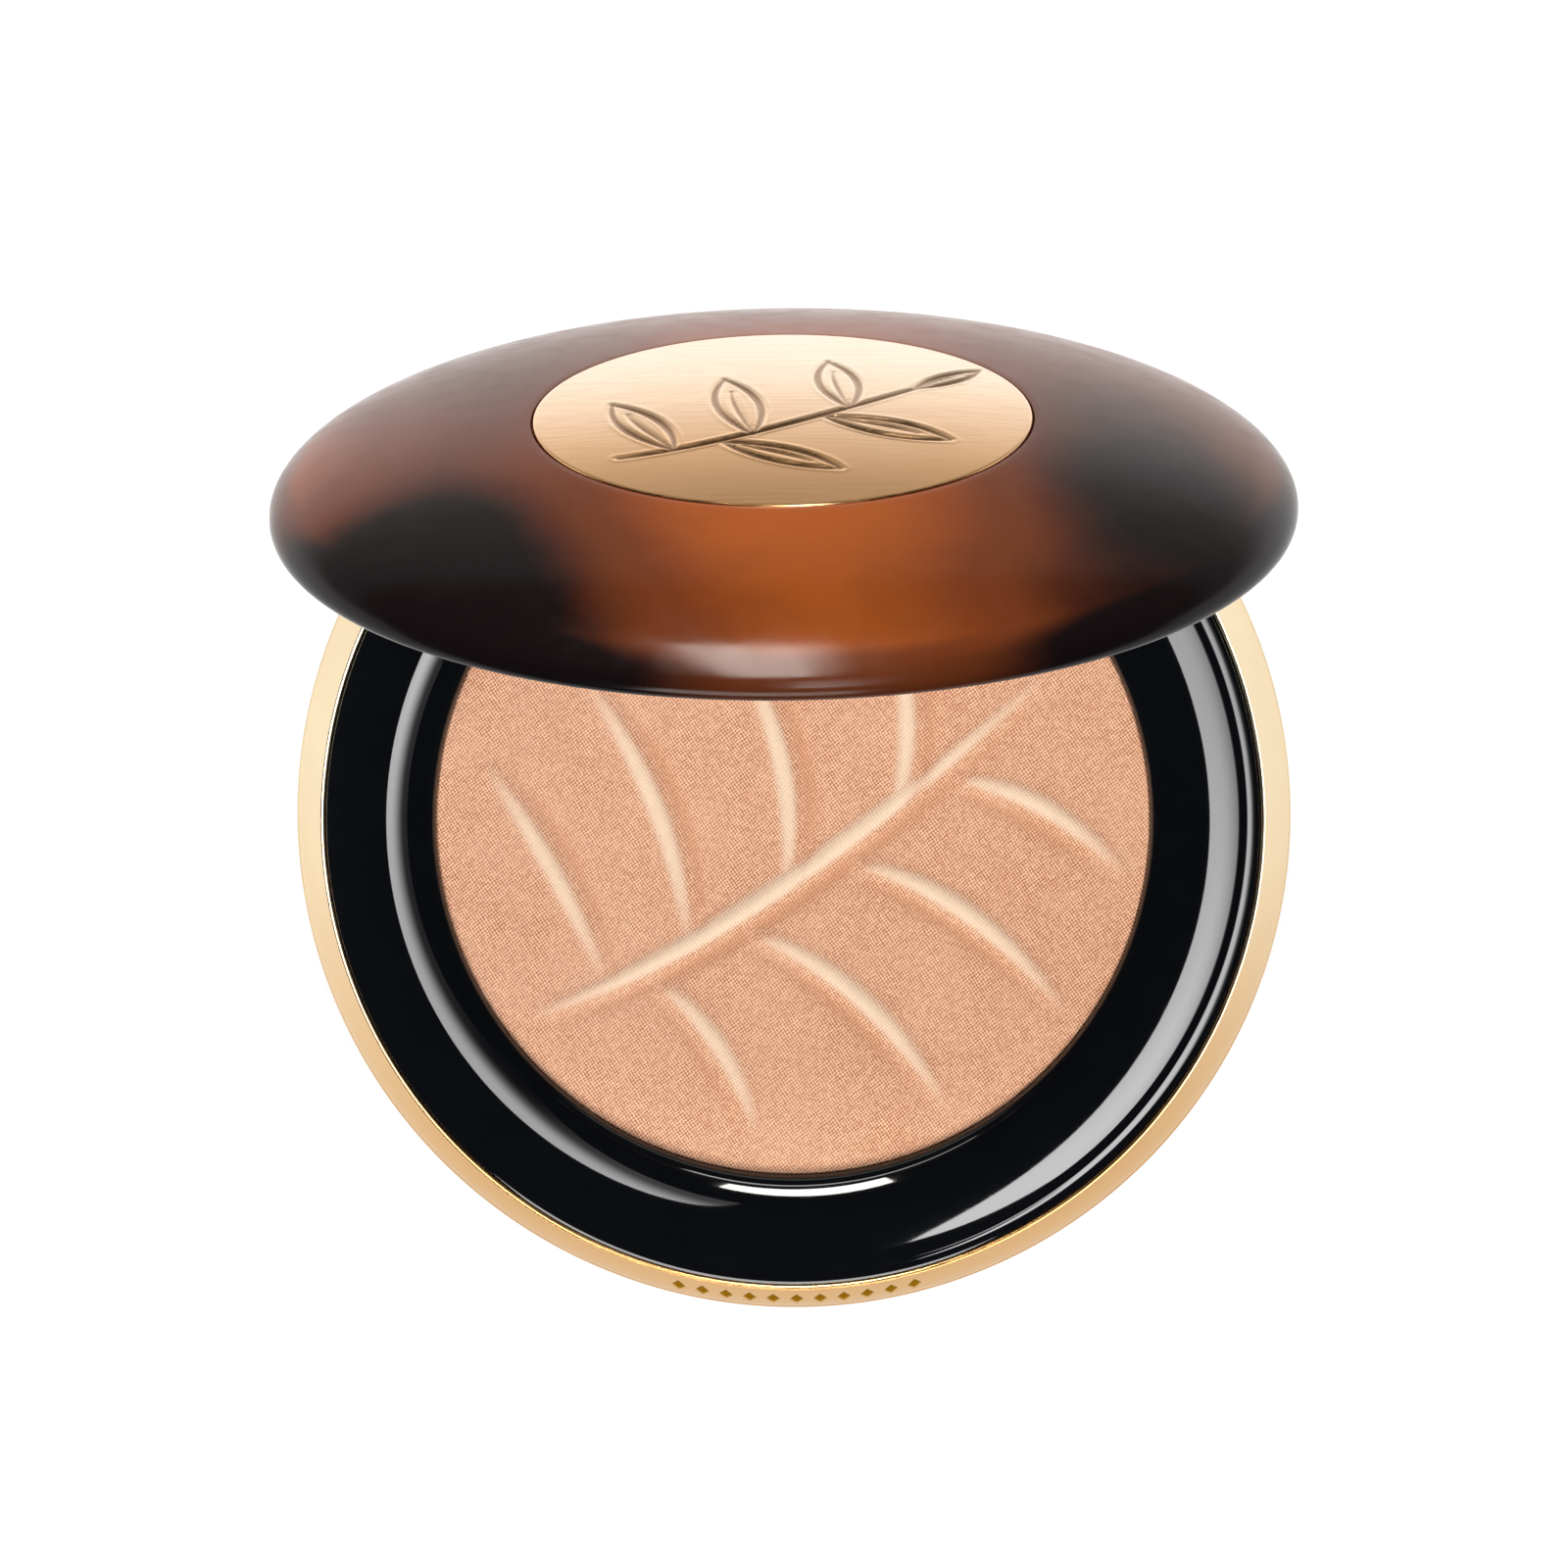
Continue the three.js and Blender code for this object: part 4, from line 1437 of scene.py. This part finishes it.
@dataclass
class Studio:
    """Floor, world, softboxes and the camera."""

    floor_front: float = 0.9
    floor_back: float = 0.185
    floor_side: float = 1.1
    floor_level: float = -0.00005
    floor_glow: float = 0.88
    horizon: Colour = (0.06, 0.06, 0.064)
    zenith: Colour = (0.012, 0.013, 0.016)
    backdrop: Colour = (0.95, 0.95, 0.95)
    panel_height: float = 1.5
    panel_glow: float = 14.0
    camera_reach: float = 1.223
    camera_lean: float = math.radians(-5.319)
    camera_side: float = math.radians(0.849)
    camera_roll: float = math.radians(-0.433)
    camera_across: float = -0.000700
    camera_up: float = 0.002961
    lens: float = 350.4
    softboxes: list[Softbox] = field(default_factory=lambda: [
        Softbox("back_box", (-0.028, 0.40, 0.345), 0.14, 0.51, 7.2, (1.0, 0.95, 0.88)),
        Softbox("front_box", (-0.1, -0.75, 0.62), 0.7, 0.4, 8.5, (1.0, 0.98, 0.95)),
    ])

    def build_panel(self) -> None:
        """Large soft panel high on the right: brightest at its near edge, fading to the right and back."""
        u, v = np.meshgrid(np.linspace(0.069, 0.70, 24), np.linspace(-0.49, 0.49, 24), indexing="ij")
        s = Sketch("panel_glow")
        x, y, _ = s.split(s.place())
        across = s.span(x, 0.19, 0.60, 1.0, 0.04)
        along = s.span(y, -0.36, -0.04, self.panel_glow, self.panel_glow * 0.63)
        behind = s.math("MULTIPLY", across, s.span(y, 0.08, 0.42, 1.0, 0.12))
        s.feed("Emission Strength", s.math("MULTIPLY", behind, along))
        s.set(Base_Color=(0, 0, 0, 1), Specular_IOR_Level=0.0, Emission_Color=(1.0, 1.0, 1.0, 1))
        points = np.stack([u, v, np.full_like(u, self.panel_height)], -1)
        stage_sheet("studio_panel", points, False, s.material)

    def build_floor(self) -> None:
        """Pale floor: a rounded sheet that ends not far behind the case.

        Formula: (u, v) of a square goes to (u sqrt(1 - v^2 / 2), v sqrt(1 - u^2 / 2)) of a disc, which is
        then stretched to the floor's reach on each side.
        """
        u, v = np.meshgrid(np.linspace(-1, 1, 60), np.linspace(-1, 1, 60), indexing="ij")
        disc_u, disc_v = u * np.sqrt(1 - v ** 2 / 2), v * np.sqrt(1 - u ** 2 / 2)
        depth = np.where(disc_v > 0, disc_v * self.floor_back, disc_v * self.floor_front)
        points = np.stack([disc_u * self.floor_side, depth, np.full_like(depth, self.floor_level)], -1)
        s = Sketch("floor_white")
        at = s.place()
        _, y, _ = s.split(at)
        paper = s.ramp(s.noise(at, 3.0, 2.0), [(0.3, (0.13, 0.13, 0.13)), (0.7, (0.15, 0.15, 0.15))])
        s.feed("Base Color", s.blend(s.span(y, 0.066, 0.1), paper, (0.06, 0.06, 0.06)))
        glow = s.span(y, 0.059, 0.101, self.floor_glow, self.floor_glow * 0.2)
        s.feed("Emission Strength", s.math("MAXIMUM", glow, s.math("MULTIPLY", s.seen(), self.floor_glow)))
        s.set(Roughness=0.9, Specular_IOR_Level=0.1, Emission_Color=(1, 1, 1, 1))
        stage_sheet("studio_floor", points, True, s.material)

    def build_world(self) -> None:
        """World: dark overhead, a little lighter at the horizon, and white where it is looked at directly."""
        world = bpy.data.worlds.new("studio_world")
        world.use_nodes = True
        tree = world.node_tree
        tree.nodes.clear()
        coordinates = tree.nodes.new("ShaderNodeTexCoord")
        split = tree.nodes.new("ShaderNodeSeparateXYZ")
        ramp = tree.nodes.new("ShaderNodeValToRGB")
        glow = tree.nodes.new("ShaderNodeBackground")
        output = tree.nodes.new("ShaderNodeOutputWorld")
        for element, height, tone in zip(ramp.color_ramp.elements, (0.0, 0.75), (self.horizon, self.zenith)):
            element.position = height
            element.color = (*tone, 1)
        tree.links.new(coordinates.outputs["Generated"], split.inputs[0])
        tree.links.new(split.outputs["Z"], ramp.inputs["Fac"])
        rays = tree.nodes.new("ShaderNodeLightPath")
        seen = tree.nodes.new("ShaderNodeMix")
        seen.data_type = "RGBA"
        seen.inputs[7].default_value = (*self.backdrop, 1)
        tree.links.new(rays.outputs["Is Camera Ray"], seen.inputs[0])
        tree.links.new(ramp.outputs["Color"], seen.inputs[6])
        tree.links.new(seen.outputs[2], glow.inputs["Color"])
        tree.links.new(glow.outputs["Background"], output.inputs["Surface"])
        bpy.context.scene.world = world

    def build_camera(self) -> None:
        """Long lens almost straight above, leaning a little to the hinge side."""
        lean, side, roll = self.camera_lean, self.camera_side, self.camera_roll
        back = Vector((math.sin(side), -math.sin(lean) * math.cos(side), math.cos(lean))).normalized()
        up = (Vector((0, 1, 0)) - back * back.y).normalized()
        right = up.cross(back)
        right, up = (right * math.cos(roll) + up * math.sin(roll),
                     up * math.cos(roll) - right * math.sin(roll))
        data = bpy.data.cameras.new("camera")
        data.sensor_width, data.lens = 36.0, self.lens
        data.clip_start, data.clip_end = 0.05, 20.0
        camera = bpy.data.objects.new("camera", data)
        target = Vector((0, 0, BAND_TOP * MM))
        place = target + right * self.camera_across + up * self.camera_up + back * self.camera_reach
        camera.matrix_world = Matrix.Translation(place) @ Matrix((right, up, back)).transposed().to_4x4()
        bpy.context.scene.collection.objects.link(camera)
        bpy.context.scene.camera = camera

    def build(self) -> None:
        """Set the stage."""
        bpy.context.scene.view_settings.view_transform = "Standard"
        self.build_floor()
        self.build_panel()
        self.build_world()
        for softbox in self.softboxes:
            softbox.build()
        self.build_camera()


# ---------------------------------------------------------------------------------------------------------
# Assembly
# ---------------------------------------------------------------------------------------------------------
def dress(node: str, material: bpy.types.Material) -> None:
    """Give a CAD node another finish.

    Args:
        node: Name of the node.
        material: Its finish.
    """
    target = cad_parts[node]
    target.data.materials.clear()
    target.data.materials.append(material)
    LOG.info("%s: dressed", node)


def dress_hidden() -> None:
    """Finish the parts that lie inside the case and the lid."""
    nickel = PlainMetal("nickel_plate", (0.72, 0.70, 0.66), 0.22, (6, 1, 1)).build()
    tin = PlainMetal("rolled_tinplate", (0.62, 0.63, 0.65), 0.32).build()
    weight = PlainMetal("mill_steel", (0.42, 0.42, 0.43), 0.42, (1, 30, 1)).build()
    glue = SoftMatter("cured_glue", (0.72, 0.62, 0.42), 0.4, 600, 0.02).build()
    tape = SoftMatter("foam_tape", (0.82, 0.81, 0.78), 0.85, 1800, 0.02).build()
    tray = MouldedBlack("tray_black", 0.5).build()
    finishes = {"godet": tin, "weight_plate": weight, "godet_adhesive": glue, "emblem_adhesive": glue,
                "mirror_tape": tape, "pan_tray": tray}
    finishes |= {f"{body.value}_magnet_{side}": nickel for body in Body for side in ("left", "right")}
    for node, material in finishes.items():
        dress(node, material)


def main() -> None:
    """Build the compact and its studio."""
    logging.basicConfig(level=logging.INFO, format="%(name)s %(message)s")
    Studio().build()
    tortoise = Tortoise("tortoise_case", BASE_PATCHES).build()
    lid_tortoise = Tortoise("tortoise_lid", LID_PATCHES, tilted=True).build()
    gold = PaleGold("band_gold").build()
    emblem_gold = EngravedGold("emblem_gold").build()
    gloss = GlossBlack("piano_black").build()
    satin = MouldedBlack("cover_black").build()
    base = BaseCase()
    base.build_shell(tortoise)
    base.build_band(gold)
    base.build_label(SoftMatter("label_stock", (0.55, 0.5, 0.42), 0.5).build())
    well = PowderWell()
    well.build_frame(gloss)
    well.build_cake(PressedPowder("peach_powder").build())
    Hinge().build(gloss, satin, PlainMetal("pin_steel", (0.6, 0.6, 0.61), 0.25, (30, 1, 1)).build())
    lid = Lid()
    lid.build_shell(lid_tortoise)
    lid.build_emblem(emblem_gold)
    lid.build_cover(satin)
    lid.build_mirror(Silvering("silvered_glass").build())
    lid.build_bumpers(SoftMatter("clear_pad", (0.62, 0.63, 0.64), 0.35).build())
    dress_hidden()


if __name__ == "__main__":
    main()
